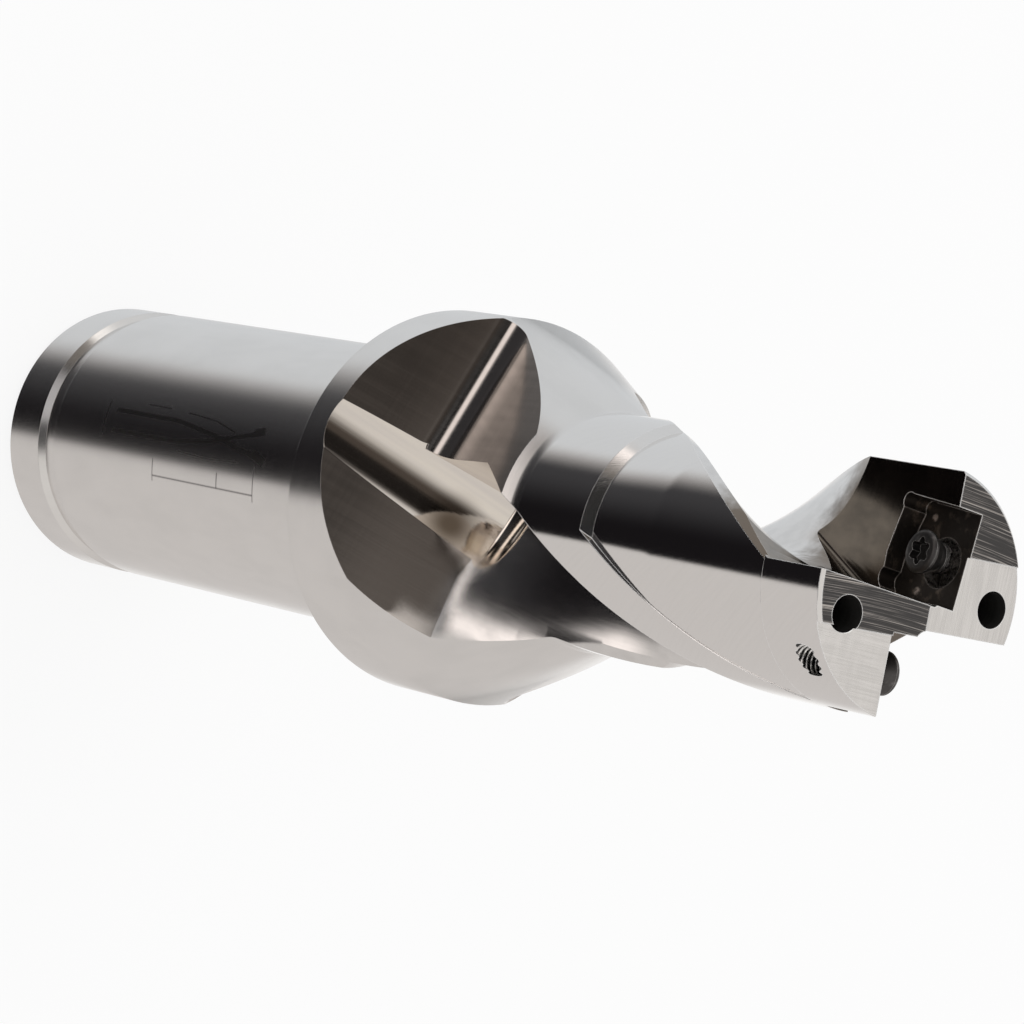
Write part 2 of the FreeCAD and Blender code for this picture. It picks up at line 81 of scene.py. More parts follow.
class BlankSizes(bpy.types.PropertyGroup):
    shank_radius: length("Shank radius", 12.5, "Radius of the shank")
    shank_length: length("Shank length", 56, "From the rear face to the collar")
    shank_edge: length("Shank edge", 0.8, "Chamfer of the shank's rear edge")
    ring_start: length("Ring start", 6.1, "From the rear face to the ring groove")
    ring_width: length("Ring width", 2.9, "Width of the ring groove")
    ring_depth: length("Ring depth", 0.5, "Depth of the ring groove")
    ring_slope: length("Ring slope", 0.6, "Width of each sloping side of the ring groove")
    flange_radius: length("Collar radius", 16.6, "Radius of the collar")
    flange_length: length("Collar length", 8.5, "Straight length of the collar")
    flange_edge: length("Collar edge", 0.25, "Chamfer of the collar's rear edge")
    cone_angle: angle("Cone angle", 24, "Slope of the collar's front cone to the axis")
    cone_round: length("Cone rounding", 2.5, "Rounding between the cone and the fluted part")
    body_radius: length("Body radius", 9.95, "Radius of the fluted part")
    body_length: length("Body length", 63, "From the collar's rear face to the cutting end")
    front_edge: length("Front edge", 0.25, "Chamfer of the cutting end")


class FluteSizes(bpy.types.PropertyGroup):
    lead: length("Flute lead", 114, "Length in which a flute turns once")
    slow_lead: length("Runout lead", 152, "Lead of the flutes' slower ends")
    slow_top: length("Runout top", 80, "Height below which the slower sweep is cut")
    slow_blend: length("Runout blend", 6, "How far above and below it the sweep changes")
    ledge_shift: length("Ledge shift", 0.2, "From the axis to the ledge beside a runout")
    straight: length("Straight length", 7, "From the end of the flutes to the cutting end")
    scoop_azimuth: angle("Runout direction", 246, "Direction that runout one faces")
    scoop_slope: angle("Runout slope", 37, "Slope of the runouts")
    scoop_rim: length("Runout rim", 59.6, "Height at which a runout cuts the collar")
    margin_one: angle("Margin one", 345, "Direction of the rear edge of land one's margin")
    margin_two: angle("Margin two", 157, "Direction of the rear edge of land two's margin")
    relief_start: length("Relief start", 32.6, "From the collar's rear face to the reliefs")
    relief_ramp: length("Relief ramp", 1, "Length in which a relief reaches its depth")
    relief_fade: length("Relief fade", 9, "From a relief's start to its shallow part")
    relief_depth: length("Relief depth", 0.6, "Depth of a relief after its ramp")
    relief_shallow: length("Shallow relief", 0.09, "Depth of a relief's shallow part")
    relief_span: angle("Relief span", 94, "Turn about the axis that a relief takes up")


class RunoutSizes(bpy.types.PropertyGroup):
    shelf_top: length("Shelf top", 78, "Height up to which the shelves are cut")
    shelf_head: length("Shelf head", 10.2, "From the axis to a shelf's wall at its top")
    shelf_foot: length("Shelf foot", 8.9, "From the axis to a shelf's wall at its foot")
    shelf_round: length("Shelf rounding", 4, "Rounding at the foot of a shelf's wall")
    trough_radius: length("Trough radius", 5.4, "Radius of the troughs")
    trough_depth: length("Trough depth", 0.45, "Depth of a trough at the collar's rim")
    trough_side: length("Trough side", 3.5, "From the middle of a runout to its trough")
    trough_tilt: angle("Trough tilt", 2.5, "Angle between a trough and its runout's slope")
    trough_turn: angle("Trough turn", 4, "Turn of a trough about the axis")
    trough_length: length("Trough length", 20, "Length of a trough from outside the collar")
    trough_skin: length("Trough edge", 0.05, "How far a trough is cut above the slope")
    end_share: amount("Trough end", 0.42, "Half length of a trough's round end to its radius")
    end_back: length("End setback", 0.4, "From a trough's end back to its round end's middle")


class EndSizes(bpy.types.PropertyGroup):
    front_slope: angle("Front slope", 1.5, "Slope of the light end faces")
    block_drop: length("Flat length", 16.4, "From the end to the foot of a land's flat")
    block_foot: length("Flat foot", 4.1, "How far a flat's wall slopes out at its foot")
    outer_wall: length("Outer pocket wall", 3.25, "From the axis to the outer pocket's wall")
    outer_length: length("Outer pocket length", 6, "From the end to the outer pocket's rear")
    outer_height: length("Outer pocket height", 2.8, "Height cut out over the outer floor")
    outer_inset: length("Relief inset", 0.233, "From the walls to their corner relief's centre")
    outer_corner: length("Relief radius", 0.7, "Radius of the outer pocket's corner relief")
    outer_floor: place("Outer pocket floor", -2, "Place across of the outer pocket's floor")
    outer_screw_x: place("Outer screw x", 6.45, "Place of the outer screw")
    outer_screw_drop: length("Outer screw drop", 2.55, "From the end to the outer screw")
    inner_floor: place("Inner pocket floor", 4.05, "Place across of the inner pocket's floor")
    inner_screw_x: place("Inner screw x", -2.95, "Place of the inner screw")
    inner_screw_drop: length("Inner screw drop", 3.3, "From the end to the inner screw")
    inner_tilt: angle("Inner tilt", 6.4, "Turn of the inner pocket about the axis")
    screw_radius: length("Screw radius", 1.25, "Radius of the screws' thread")
    screw_length: length("Screw length", 5, "From the top of a screw's head to its end")
    thread_pitch: length("Thread pitch", 0.45, "Distance between two turns of the thread")
    thread_depth: length("Thread depth", 0.22, "Depth of the thread in the cross hole")
    head_radius: length("Head radius", 1.73, "Radius of the screws' heads")
    head_lift: length("Head lift", 2.25, "From the pocket's floor to the top of a head")
    head_angle: angle("Head angle", 30, "Slope of the cone under a head to the screw's axis")
    socket_radius: length("Socket radius", 0.78, "Radius of a socket between its lobes")
    socket_lobe: length("Socket lobe", 0.33, "How far the lobes of a socket stand out")
    socket_depth: length("Socket depth", 0.85, "Depth of a socket")


class CoolantSizes(bpy.types.PropertyGroup):
    inlet_radius: length("Bore radius", 7, "Radius of the coolant bore")
    inlet_edge: length("Bore edge", 1, "Chamfer of the coolant bore")
    inlet_short: length("Bore end", 10, "From the straight bore's end to the collar")
    inlet_point: length("Bore point", 4.04, "Length of the bore's drilled point")
    channel_overlap: length("Channel overlap", 4, "How far the channels run beside the bore")
    outlet_radius: length("Outlet radius", 1.45, "Radius of the outlets and channels")
    outlet_straight: length("Outlet length", 19, "Straight length of the outlets")


class Finishes(bpy.types.PropertyGroup):
    nickel: colour("Nickelled steel", 0.86, 0.84, 0.82, "Colour of the plated surfaces")
    warm: colour("Brushed steel", 0.74, 0.69, 0.65, "Colour of the milled runouts")
    dark: colour("Dark steel", 0.33, 0.32, 0.32, "Colour of the ridged end faces")
    black: colour("Blackened steel", 0.075, 0.064, 0.056, "Colour of the insert seats")
    screw: colour("Screw steel", 0.10, 0.095, 0.093, "Colour of the clamping screws")
    floor: colour("Floor", 0.93, 0.93, 0.93, "Colour of the floor")
    edge: length("Edge rounding", 0.07, "Look of the lightly broken edges")
    mark: amount("Marking", 0.8, "Strength of the etched figure on the shank")


def group(kind):
    return getattr(bpy.context.scene, kind)


class Sizes:
    """Every size and colour of the sidebar by its name."""

    def __getattr__(self, name):
        for word, kind in GROUPS.items():
            if name in kind.__annotations__:
                return getattr(group(word), name)
        raise AttributeError(name)


s = Sizes()


def end_height():
    return s.shank_length + s.body_length


# Shader maths

class Level:
    """The output of a node, for use in an expression."""

    def __init__(self, nodes, socket):
        self.nodes = nodes
        self.socket = socket

    def __add__(self, other):
        return self.nodes.maths("ADD", self, other)

    def __radd__(self, other):
        return self.nodes.maths("ADD", other, self)

    def __sub__(self, other):
        return self.nodes.maths("SUBTRACT", self, other)

    def __rsub__(self, other):
        return self.nodes.maths("SUBTRACT", other, self)

    def __mul__(self, other):
        return self.nodes.maths("MULTIPLY", self, other)

    def __rmul__(self, other):
        return self.nodes.maths("MULTIPLY", other, self)


class Nodes:
    """The node tree of one material or of the world."""

    def __init__(self, tree):
        self.tree = tree
        tree.nodes.clear()

    def add(self, kind, settings=None, inputs=None, output=0):
        """A node. Its settings come first, then the values or links of its sockets."""
        node = self.tree.nodes.new(kind)
        for name, setting in (settings or {}).items():
            setattr(node, name, setting)
        for name, given in (inputs or {}).items():
            if isinstance(given, Level):
                self.tree.links.new(given.socket, node.inputs[name])
            else:
                node.inputs[name].default_value = given
        return Level(self, node.outputs[output]) if node.outputs else None

    def maths(self, operation, *given):
        return self.add("ShaderNodeMath", {"operation": operation}, dict(enumerate(given)))

    def distance(self, *steps):
        total = steps[0] * steps[0]
        for step in steps[1:]:
            total = total + step * step
        return self.maths("SQRT", total)

    def axes(self, kind="Object"):
        """The three parts of a texture coordinate."""
        spot = self.add("ShaderNodeTexCoord", output=kind)
        return [self.add("ShaderNodeSeparateXYZ", None, {0: spot}, axis) for axis in range(3)]

    def vector(self, x, y, z):
        return self.add("ShaderNodeCombineXYZ", None, {0: x, 1: y, 2: z})

    def smooth(self, given, low, high, start=0.0, end=1.0):
        return self.add("ShaderNodeMapRange", {"interpolation_type": "SMOOTHSTEP"},
                        {0: given, 1: low, 2: high, 3: start, 4: end})

    def band(self, given, low, high, soft_low, soft_high):
        rise = self.smooth(given, low - soft_low, low + soft_low)
        fall = self.smooth(given, high - soft_high, high + soft_high, 1.0, 0.0)
        return rise * fall

    def noise(self, vector, scale, detail=3.0, roughness=0.55):
        return self.add("ShaderNodeTexNoise", None,
                        {"Vector": vector, "Scale": scale, "Detail": detail,
                         "Roughness": roughness})

    def mix(self, share, first, second):
        return self.add("ShaderNodeMix", {"data_type": "RGBA"},
                        {0: share, 6: first, 7: second}, 2)

    def clamp(self, given):
        return self.add("ShaderNodeClamp", None, {0: given})


def rgba(shade, scale=1.0):
    return (shade[0] * scale, shade[1] * scale, shade[2] * scale, 1)


def material(name):
    """The empty node tree of a new material."""
    made = bpy.data.materials.new(name)
    made.use_nodes = True
    return Nodes(made.node_tree)


EDGE_HIGHLIGHT = (0.98, 0.97, 0.96)
# Colour of the painted highlights along plated edges.
"""Colour of plated edges that are rubbed bare."""


def finish_steel(nodes, tint, roughness, height, depth, metallic=1.0, edge=None, edge_highlight=None,
                 samples=6):
    """Joins colour, roughness and relief to one metal shader. Edge is the rounding of its
    edges where it isn't the usual one, and edge_highlight the colour of a painted highlight along
    them."""
    if edge is None:
        edge = s.edge
    bevel = nodes.add("ShaderNodeBevel", {"samples": samples}, {"Radius": edge})
    # Painted highlight: where the rounded normal turns away from the plain one, edges get a
    # lighter, smoother and less metallic colour.
    if edge_highlight:
        plain = nodes.add("ShaderNodeNewGeometry", output=1)
        facing = nodes.add("ShaderNodeVectorMath", {"operation": "DOT_PRODUCT"},
                           {0: bevel, 1: plain}, 1)
        highlight_share = nodes.smooth(facing, 0.995, 0.93)
        tint = nodes.mix(highlight_share, tint, rgba(edge_highlight))
        roughness = roughness - highlight_share * 0.12
        metallic = metallic - highlight_share * 0.5
    bump = nodes.add("ShaderNodeBump", None, {"Height": height, "Strength": 1.0,
                                              "Distance": depth, "Normal": bevel})
    shader = nodes.add("ShaderNodeBsdfPrincipled", None,
                       {"Base Color": tint, "Roughness": roughness, "Metallic": metallic,
                        "Normal": bump})
    nodes.add("ShaderNodeOutputMaterial", None, {"Surface": shader})


def around(nodes, x, y):
    """Angle about the axis and distance from it."""
    return nodes.maths("ARCTAN2", y, x), nodes.distance(x, y)


def twin_spots(nodes, axes, spot, far, near):
    """One near a spot and near its twin across the axis, and zero farther away. The spot and
    both distances are in millimetres."""
    share = 0
    for turn in (1, -1):
        twin = (turn * spot[0], turn * spot[1], spot[2])
        steps = [given - centre * mm for given, centre in zip(axes, twin)]
        share = nodes.smooth(nodes.distance(*steps), far * mm, near * mm) + share
    return share


def inner_rounding(nodes, x, y, z):
    """Wide rounding where the flutes end in the runouts, and crisp edges elsewhere."""
    wide = twin_spots(nodes, (x, y, z), (7.4, -7.9, 69.6), 5.5, 3.5)
    return s.edge + wide * (2.8 * mm)


def stroke(nodes, along, across, start, end, width):
    """One on a straight line of a drawing, and zero beside it."""
    reach = math.hypot(end[0] - start[0], end[1] - start[1])
    dx = (end[0] - start[0]) / reach
    dy = (end[1] - start[1]) / reach
    first = along - start[0] * mm
    second = across - start[1] * mm
    forward = first * dx + second * dy
    beside = second * dx - first * dy
    half = width * mm / 2
    return (nodes.band(forward, 0, reach * mm, half, half)
            * nodes.band(beside, -half, half, 0.08 * mm, 0.08 * mm))


def figure(nodes, turn, z):
    """A plain drawing of a drill with its two channels and its length, etched in the shank."""
    shift = 20 * mm
    across = turn * s.shank_radius + shift
    channel_one = ((19, -2.1), (30, -2.1), (37, -1.3), (41, -0.6), (45, 0))
    channel_two = ((19, -0.2), (30, -0.2), (36, -0.8), (40, -1.6), (44, -2.4))
    outside = ((31, -3), (36, -2.7), (39.5, -2))
    inside = ((31, 0.6), (36, 0.8), (41, 0.6))
    length_line = ((27, 3.2), (44, 3.2))
    lines = [(channel_one, 0.42), (channel_two, 0.42), (outside, 0.16), (inside, 0.16),
             (length_line, 0.12), (((27, 1.6), (27, 3.7)), 0.12), (((38, 1.8), (38, 3.2)), 0.14),
             (((44, 0.6), (44, 3.8)), 0.12), (((43, -0.5), (45.4, 0.2)), 0.8),
             (((42.5, -2.2), (44.2, -2.6)), 0.8), (((17.5, -3), (17.5, 0.4)), 0.16),
             (((24, -3.1), (28, -3.1)), 0.14)]
    drawn = 0
    for points, width in lines:
        for start, end in zip(points, points[1:]):
            drawn = stroke(nodes, z, across, start, end, width) + drawn
    return nodes.clamp(drawn)


def turned_nickel(nodes):
    """Shank and collar, with very fine marks round the axis."""
    x, y, z = nodes.axes()
    turn, radius = around(nodes, x, y)
    rings = nodes.noise(nodes.vector(turn * 0.35, z * 1800, radius * 1800), 4.0, 4.0)
    coarse = nodes.noise(nodes.vector(turn * 0.2, z * 500, 0.0), 2.0, 2.0)
    cloud = nodes.noise(nodes.vector(turn * 3, z * 90, 0.0), 1.4, 4.0)
    tint = nodes.mix(nodes.smooth(cloud, 0.35, 0.7), rgba(s.nickel),
                     rgba(s.nickel, 0.96))
    etched = figure(nodes, turn, z) * s.mark
    tint = nodes.mix(etched, tint, (0.11, 0.10, 0.10, 1))
    rough = 0.16 + cloud * 0.04 + rings * 0.06 + etched * 0.12
    finish_steel(nodes, tint, rough, rings * 0.5 + coarse * 0.5, 1.5 * micron)


def ground_nickel(nodes):
    """Lands, with fine slanting grinding marks."""
    x, y, z = nodes.axes()
    across = nodes.maths("ARCTAN2", y, x) * (9.9 * mm)
    slant = across + z * 0.8
    along = across * 0.8 - z
    lines = nodes.noise(nodes.vector(along * 260, slant * 12000, 0.0), 1.0, 3.0, 0.7)
    soft = nodes.noise(nodes.vector(along * 200, slant * 2600, 3.0), 1.0, 3.0)
    tint = nodes.mix(nodes.smooth(soft, 0.3, 0.75), rgba(s.nickel),
                     rgba(s.nickel, 0.98))
    rough = 0.04 + lines * 0.08
    # The last colour is a painted highlight along the edges.
    finish_steel(nodes, tint, rough, lines, 1.8 * micron, edge=0.1 * mm, edge_highlight=EDGE_HIGHLIGHT)


def milled_flute(nodes):
    """Flute walls, with marks that follow the lead."""
    x, y, z = nodes.axes()
    turn, radius = around(nodes, x, y)
    lead = s.lead
    phase = turn - z * (2 * math.pi / lead)
    across = nodes.vector(radius * 6000, phase * 30, z * 120)
    lines = nodes.noise(across, 1.0, 4.0, 0.6)
    steps = nodes.noise(nodes.vector(radius * 900, phase * 6, z * 700), 1.0, 2.0)
    tint = nodes.mix(nodes.smooth(steps, 0.35, 0.7), rgba(s.nickel, 0.97),
                     rgba(s.nickel, 0.9))
    # Darker and browner towards the cutting end.
    browner_near_end = nodes.smooth(z + steps * (4 * mm), 104 * mm, 109 * mm)
    tint = nodes.mix(browner_near_end, tint, (0.22, 0.18, 0.145, 1))
    rough = 0.09 + lines * 0.1
    finish_steel(nodes, tint, rough, lines * 0.6 + steps * 0.4, 2.2 * micron,
                 edge=inner_rounding(nodes, x, y, z), samples=10)


def brushed_runout(nodes):
    """Runouts in the collar, brushed down their slope."""
    x, y, z = nodes.axes()
    heading = s.scoop_azimuth
    side = x * -math.sin(heading) + y * math.cos(heading)
    down = x * math.cos(heading) + y * math.sin(heading)
    slope = down * 0.8 - z * 0.6
    lines = nodes.noise(nodes.vector(side * 6500, slope * 150, 0.0), 1.0, 4.0, 0.65)
    bands = nodes.noise(nodes.vector(side * 900, slope * 60, 4.0), 1.0, 2.0)
    cross = nodes.noise(nodes.vector(side * 60, slope * 3000, 9.0), 1.0, 3.0)
    tint = nodes.mix(nodes.smooth(bands * 0.7 + cross * 0.3, 0.36, 0.64),
                     rgba(s.warm, 0.56), rgba(s.warm, 0.44))
    # Painted reflection: the runouts are lighter low down and near the axis, towards the foot of
    # their shelves.
    outward = nodes.maths("ABSOLUTE", down)
    inner = nodes.smooth(outward, 14 * mm, 8 * mm) * nodes.smooth(z, 70.5 * mm, 68 * mm)
    tint = nodes.mix(inner * 0.7, tint, rgba(s.warm, 1.05))
    rough = 0.07 + lines * 0.1
    finish_steel(nodes, tint, rough, lines * 0.7 + bands * 0.2 + cross * 0.1, 1.8 * micron,
                 edge=inner_rounding(nodes, x, y, z), samples=10)


def polished_trough(nodes):
    """The rounded grooves down the runouts, smoother than the rest."""
    x, y, z = nodes.axes()
    radius = nodes.distance(x, y)
    heading = s.scoop_azimuth - s.trough_turn
    side = x * -math.sin(heading) + y * math.cos(heading)
    lines = nodes.noise(nodes.vector(side * 4200, z * 120, radius * 120), 1.0, 4.0, 0.6)
    soft = nodes.noise(nodes.vector(side * 700, z * 60, 2.0), 1.0, 2.0)
    tint = nodes.mix(nodes.smooth(soft, 0.35, 0.7), rgba((0.86, 0.80, 0.72)),
                     rgba(s.warm))
    # Painted shade: a dark patch where each trough ends at its flute.
    painted_shade = twin_spots(nodes, (x, y, z), (1.9, -7.0, 66.8), 3.6, 0.4)
    tint = nodes.mix(painted_shade, tint, (0.17, 0.14, 0.11, 1))
    rough = 0.05 + lines * 0.08
    finish_steel(nodes, tint, rough, lines * 0.6 + soft * 0.4, 1.6 * micron,
                 edge=inner_rounding(nodes, x, y, z), samples=10)


def milled_end(nodes):
    """Flats and walls at the cutting end."""
    x, y, z = nodes.axes()
    lines = nodes.noise(nodes.vector(x * 400 + z * 4200, y * 400, z * 900), 1.0, 4.0, 0.6)
    soft = nodes.noise(nodes.vector(x * 500, y * 500, z * 300), 1.0, 3.0)
    tint = nodes.mix(nodes.smooth(soft, 0.35, 0.7), (0.25, 0.21, 0.17, 1),
                     (0.17, 0.145, 0.12, 1))
    rough = 0.1 + lines * 0.12
    # The last colour is a painted highlight along the edges.
    finish_steel(nodes, tint, rough, lines, 3 * micron, edge=0.11 * mm, edge_highlight=(0.95, 0.92, 0.9))


def brushed_facet(nodes):
    """Light end faces with fine brush marks."""
    x, y, z = nodes.axes()
    upper = nodes.noise(nodes.vector((y + x * 0.04) * 7000, x * 180, 0.0), 1.0, 4.0, 0.65)
    lower = nodes.noise(nodes.vector((x - y * 0.06) * 7000, y * 180, 0.0), 1.0, 4.0, 0.65)
    land = nodes.smooth(y, -0.5 * mm, 0.5 * mm)
    lines = upper * land + lower * (1 - land)
    soft = nodes.noise(nodes.vector(y * 900, x * 200, 7.0), 1.0, 3.0)
    tint = nodes.mix(nodes.smooth(lines * 0.6 + soft * 0.4, 0.36, 0.64),
                     rgba(s.nickel, 0.86), rgba(s.nickel))
    rough = 0.2 + lines * 0.15
    # The last colour is a painted highlight along the edges.
    finish_steel(nodes, tint, rough, lines, 5 * micron, edge=0.15 * mm, edge_highlight=EDGE_HIGHLIGHT)


def ridged_front(nodes):
    """End faces, with the dark and light ridges left by a coarse cut."""
    x, y, z = nodes.axes()
    bend = 5.5
    tilt = 0.074
    across = x - y * (y * bend + tilt)
    ridge = nodes.noise(nodes.vector(across * 8500, y * 50, 0.0), 1.0, 2.0, 0.5)
    fine = nodes.noise(nodes.vector(across * 24000, y * 200, 5.0), 1.0, 3.0)
    both = ridge * 0.55 + fine * 0.45
    tint = nodes.mix(nodes.smooth(both, 0.5, 0.68), rgba(s.dark, 0.24),
                     rgba(s.warm, 0.85))
    rough = 0.22 + fine * 0.16
    # The last colour is a painted highlight along the edges.
    finish_steel(nodes, tint, rough, both, 20 * micron, edge=0.15 * mm, edge_highlight=EDGE_HIGHLIGHT)


def blackened_seat(nodes):
    """Insert seats, black and pitted, bare in patches where chips have scraped them, with two
    small painted highlights.
    """
    x, y, z = nodes.axes()
    spot = nodes.vector(x, y, z)
    grain = nodes.noise(spot, 2600.0, 5.0, 0.7)
    wear = nodes.noise(spot, 700.0, 4.0, 0.6)
    bare = nodes.smooth(wear, 0.5, 0.72)
    tint = nodes.mix(bare, rgba(s.black), rgba((0.30, 0.245, 0.2)))
    # Painted highlights: two small bright glints on the seats, broken up by the grain.
    for across, depth in ((-5.94, 5.14), (-0.15, 4.9)):
        aside = x - across * mm
        away = z - (end_height() - depth * mm)
        near = nodes.smooth(aside * aside + away * away, (0.4 * mm) ** 2, (0.08 * mm) ** 2)
        tint = nodes.mix(near * nodes.smooth(grain, 0.3, 0.6), tint, rgba((0.95, 0.8, 0.72)))
    rough = 0.3 + grain * 0.2 - bare * 0.12
    # The last colour is a painted highlight along the seats' edges.
    finish_steel(nodes, tint, rough, grain * 0.6 + wear * 0.4, 30 * micron, 0.9, 0.14 * mm,
                 (0.38, 0.34, 0.31))


def dark_bore(nodes):
    """Bored steel inside, dark, with faint rings."""
    x, y, z = nodes.axes()
    turn, radius = around(nodes, x, y)
    rings = nodes.noise(nodes.vector(turn * 2, z * 3000, radius * 300), 1.0, 3.0)
    tint = nodes.mix(rings, rgba((0.10, 0.095, 0.09)), rgba((0.22, 0.21, 0.2)))
    finish_steel(nodes, tint, 0.3 + rings * 0.2, rings, 6 * micron, 0.9)


def cut_thread(nodes):
    """The tapped hole, with painted highlights on its thread's crests and painted shade in its
    roots.
    """
    x, y, z = nodes.axes()
    grain = nodes.noise(nodes.vector(x, y, z), 2400.0, 3.0)
    # Painted highlight and shade: bright near the crests of the thread, dark towards its roots.
    deep = nodes.distance(x - s.outer_screw_x, z - (end_height() - s.outer_screw_drop))
    crest = s.screw_radius - s.thread_depth
    tint = nodes.mix(nodes.smooth(deep, crest + 0.04 * mm, crest + 0.14 * mm),
                     rgba((0.95, 0.94, 0.92)), rgba((0.12, 0.12, 0.12)))
    finish_steel(nodes, tint, 0.2 + grain * 0.15, grain, 4 * micron, edge=0.02 * mm)


def screw_steel(nodes):
    """Clamping screws, dark, with a painted highlight along their edges."""
    x, y, z = nodes.axes()
    spot = nodes.vector(x, y, z)
    grain = nodes.noise(spot, 3200.0, 4.0, 0.6)
    wear = nodes.noise(spot, 1200.0, 3.0, 0.6)
    tint = nodes.mix(nodes.smooth(wear, 0.5, 0.75), rgba(s.screw),
                     rgba(s.screw, 1.9))
    rough = 0.3 + grain * 0.18
    # The last colour is a painted highlight along the screws' edges.
    finish_steel(nodes, tint, rough, grain, 8 * micron, 0.95, 0.05 * mm, (0.5, 0.48, 0.46))


FINISHES = {"turned": turned_nickel, "land": ground_nickel, "flute": milled_flute,
            "runout": brushed_runout, "trough": polished_trough, "end": milled_end,
            "facet": brushed_facet, "ridged": ridged_front, "seat": blackened_seat,
            "bore": dark_bore, "thread": cut_thread, "screw": screw_steel}


def finishes():
    """The materials of all finishes in their order, made at the first call."""
    for paint in FINISHES.values():
        if paint.__name__ not in bpy.data.materials:
            paint(material(paint.__name__))
    return [bpy.data.materials[paint.__name__] for paint in FINISHES.values()]


# Solids

def solid(name, points, faces, finish):
    """A mesh object. Finish is one name for all its faces, or one for each face."""
    mesh = bpy.data.meshes.new(name)
    mesh.from_pydata(points, [], faces)
    each = [finish] * len(faces) if isinstance(finish, str) else finish
    order = list(FINISHES)
    mesh.polygons.foreach_set("material_index", [order.index(word) for word in each])
    for one in finishes():
        mesh.materials.append(one)
    mesh.update()
    made = bpy.data.objects.new(name, mesh)
    bpy.context.collection.objects.link(made)
    return made


def loft(name, loops, finish):
    """A closed form through loops that have the same number of points each."""
    count = len(loops[0])
    points = [point for loop in loops for point in loop]
    faces = [tuple(reversed(range(count)))]
    for row in range(len(loops) - 1):
        start = row * count
        for i in range(count):
            j = (i + 1) % count
            faces.append((start + i, start + j, start + count + j, start + count + i))
    last = (len(loops) - 1) * count
    faces.append(tuple(range(last, last + count)))
    made = solid(name, points, faces, finish)
    outward(made)
    return made


def outward(made):
    """Turns the faces of a closed form outward."""
    mesh = made.data
    volume = 0
    for face in mesh.polygons:
        corners = [mesh.vertices[index].co for index in face.vertices]
        for i in range(1, len(corners) - 1):
            volume += corners[0].dot(corners[i].cross(corners[i + 1]))
    if volume < 0:
        mesh.flip_normals()


def turned(name, profile, finish, segments):
    """A form turned about Z from points of radius and height. Finish is one name, or one for
    each step from point to point."""
    points = []
    rings = []
    for radius, height in profile:
        if radius < 1e-9:
            rings.append([len(points)])
            points.append((0, 0, height))
            continue
        rings.append(list(range(len(points), len(points) + segments)))
        for i in range(segments):
            turn = 2 * math.pi * i / segments
            points.append((radius * math.cos(turn), radius * math.sin(turn), height))
    faces = []
    kinds = []
    for row, (low, high) in enumerate(zip(rings, rings[1:])):
        kind = finish if isinstance(finish, str) else finish[row]
        for i in range(segments):
            j = (i + 1) % segments
            if len(low) == 1 and len(high) == 1:
                continue
            if len(low) == 1:
                faces.append((low[0], high[j], high[i]))
            elif len(high) == 1:
                faces.append((low[i], low[j], high[0]))
            else:
                faces.append((low[i], low[j], high[j], high[i]))
            kinds.append(kind)
    made = solid(name, points, faces, kinds)
    outward(made)
    return made


def turned_point(point, turn):
    return Vector((point[0] * math.cos(turn) - point[1] * math.sin(turn),
                   point[0] * math.sin(turn) + point[1] * math.cos(turn)))


def rounded(corners, parts=None):
    """The points of an outline whose corners may have a third entry, their rounding.
    Parts gives the number of pieces of each side."""
    arc_pieces = 16
    spots = [Vector((corner[0], corner[1])) for corner in corners]
    count = len(spots)
    line = []
    for i, corner in enumerate(corners):
        here = spots[i]
        back = (spots[i - 1] - here).normalized()
        ahead = (spots[(i + 1) % count] - here).normalized()
        radius = corner[2] if len(corner) > 2 else 0
        if not radius:
            line.append([here])
            continue
        half = back.angle(ahead) / 2
        first = here + back * (radius / math.tan(half))
        middle = here + (back + ahead).normalized() * (radius / math.sin(half))
        start = first - middle
        last = here + ahead * (radius / math.tan(half)) - middle
        sweep = math.atan2(start.x * last.y - start.y * last.x, start.dot(last))
        arc = [middle + turned_point(start, sweep * k / arc_pieces)
               for k in range(arc_pieces + 1)]
        line.append(arc)
    points = []
    for i, arc in enumerate(line):
        points.extend(arc)
        end = arc[-1]
        goal = line[(i + 1) % count][0]
        pieces = parts[i] if parts else 1
        for k in range(1, pieces):
            points.append(end + (goal - end) * (k / pieces))
    return points


def wound(name, section, top, low, top_turn, lead, finish):
    """A section wound down from its top along a lead."""
    step = 1 * mm
    rows = max(2, round((top - low) / step))
    loops = []
    for row in range(rows + 1):
        drop = (top - low) * row / rows
        turn = top_turn - drop / lead * 2 * math.pi
        loops.append([(*turned_point(point, turn), top - drop) for point in section])
    return loft(name, loops, finish)


def prism(name, section, origin, across, up, reach, finish):
    """A straight form from an outline in a plane, drawn out from its origin by a reach."""
    near = [origin + across * p.x + up * p.y for p in section]
    return loft(name, [near, [point + reach for point in near]], finish)


def circle(x, y, radius, count):
    return [Vector((x + radius * math.cos(2 * math.pi * i / count),
                    y + radius * math.sin(2 * math.pi * i / count))) for i in range(count)]


def cylinder(name, centre, heading, radius, long, finish, segments=96):
    across = heading.orthogonal().normalized()
    up = heading.cross(across).normalized()
    return prism(name, circle(0, 0, radius, segments), centre, across, up, heading * long, finish)


def combine(piece, tool, operation="DIFFERENCE"):
    """Cuts one solid with another, or joins them. The second one is used up."""
    change = piece.modifiers.new("change", "BOOLEAN")
    change.operation = operation
    change.solver = "MANIFOLD"
    change.object = tool
    seen = bpy.context.evaluated_depsgraph_get()
    mesh = bpy.data.meshes.new_from_object(piece.evaluated_get(seen))
    if len(mesh.polygons) == 0:
        raise RuntimeError("%s left nothing of %s" % (tool.name, piece.name))
    piece.modifiers.clear()
    old = piece.data
    piece.data = mesh
    bpy.data.meshes.remove(old)
    spent = tool.data
    bpy.data.objects.remove(tool)
    bpy.data.meshes.remove(spent)


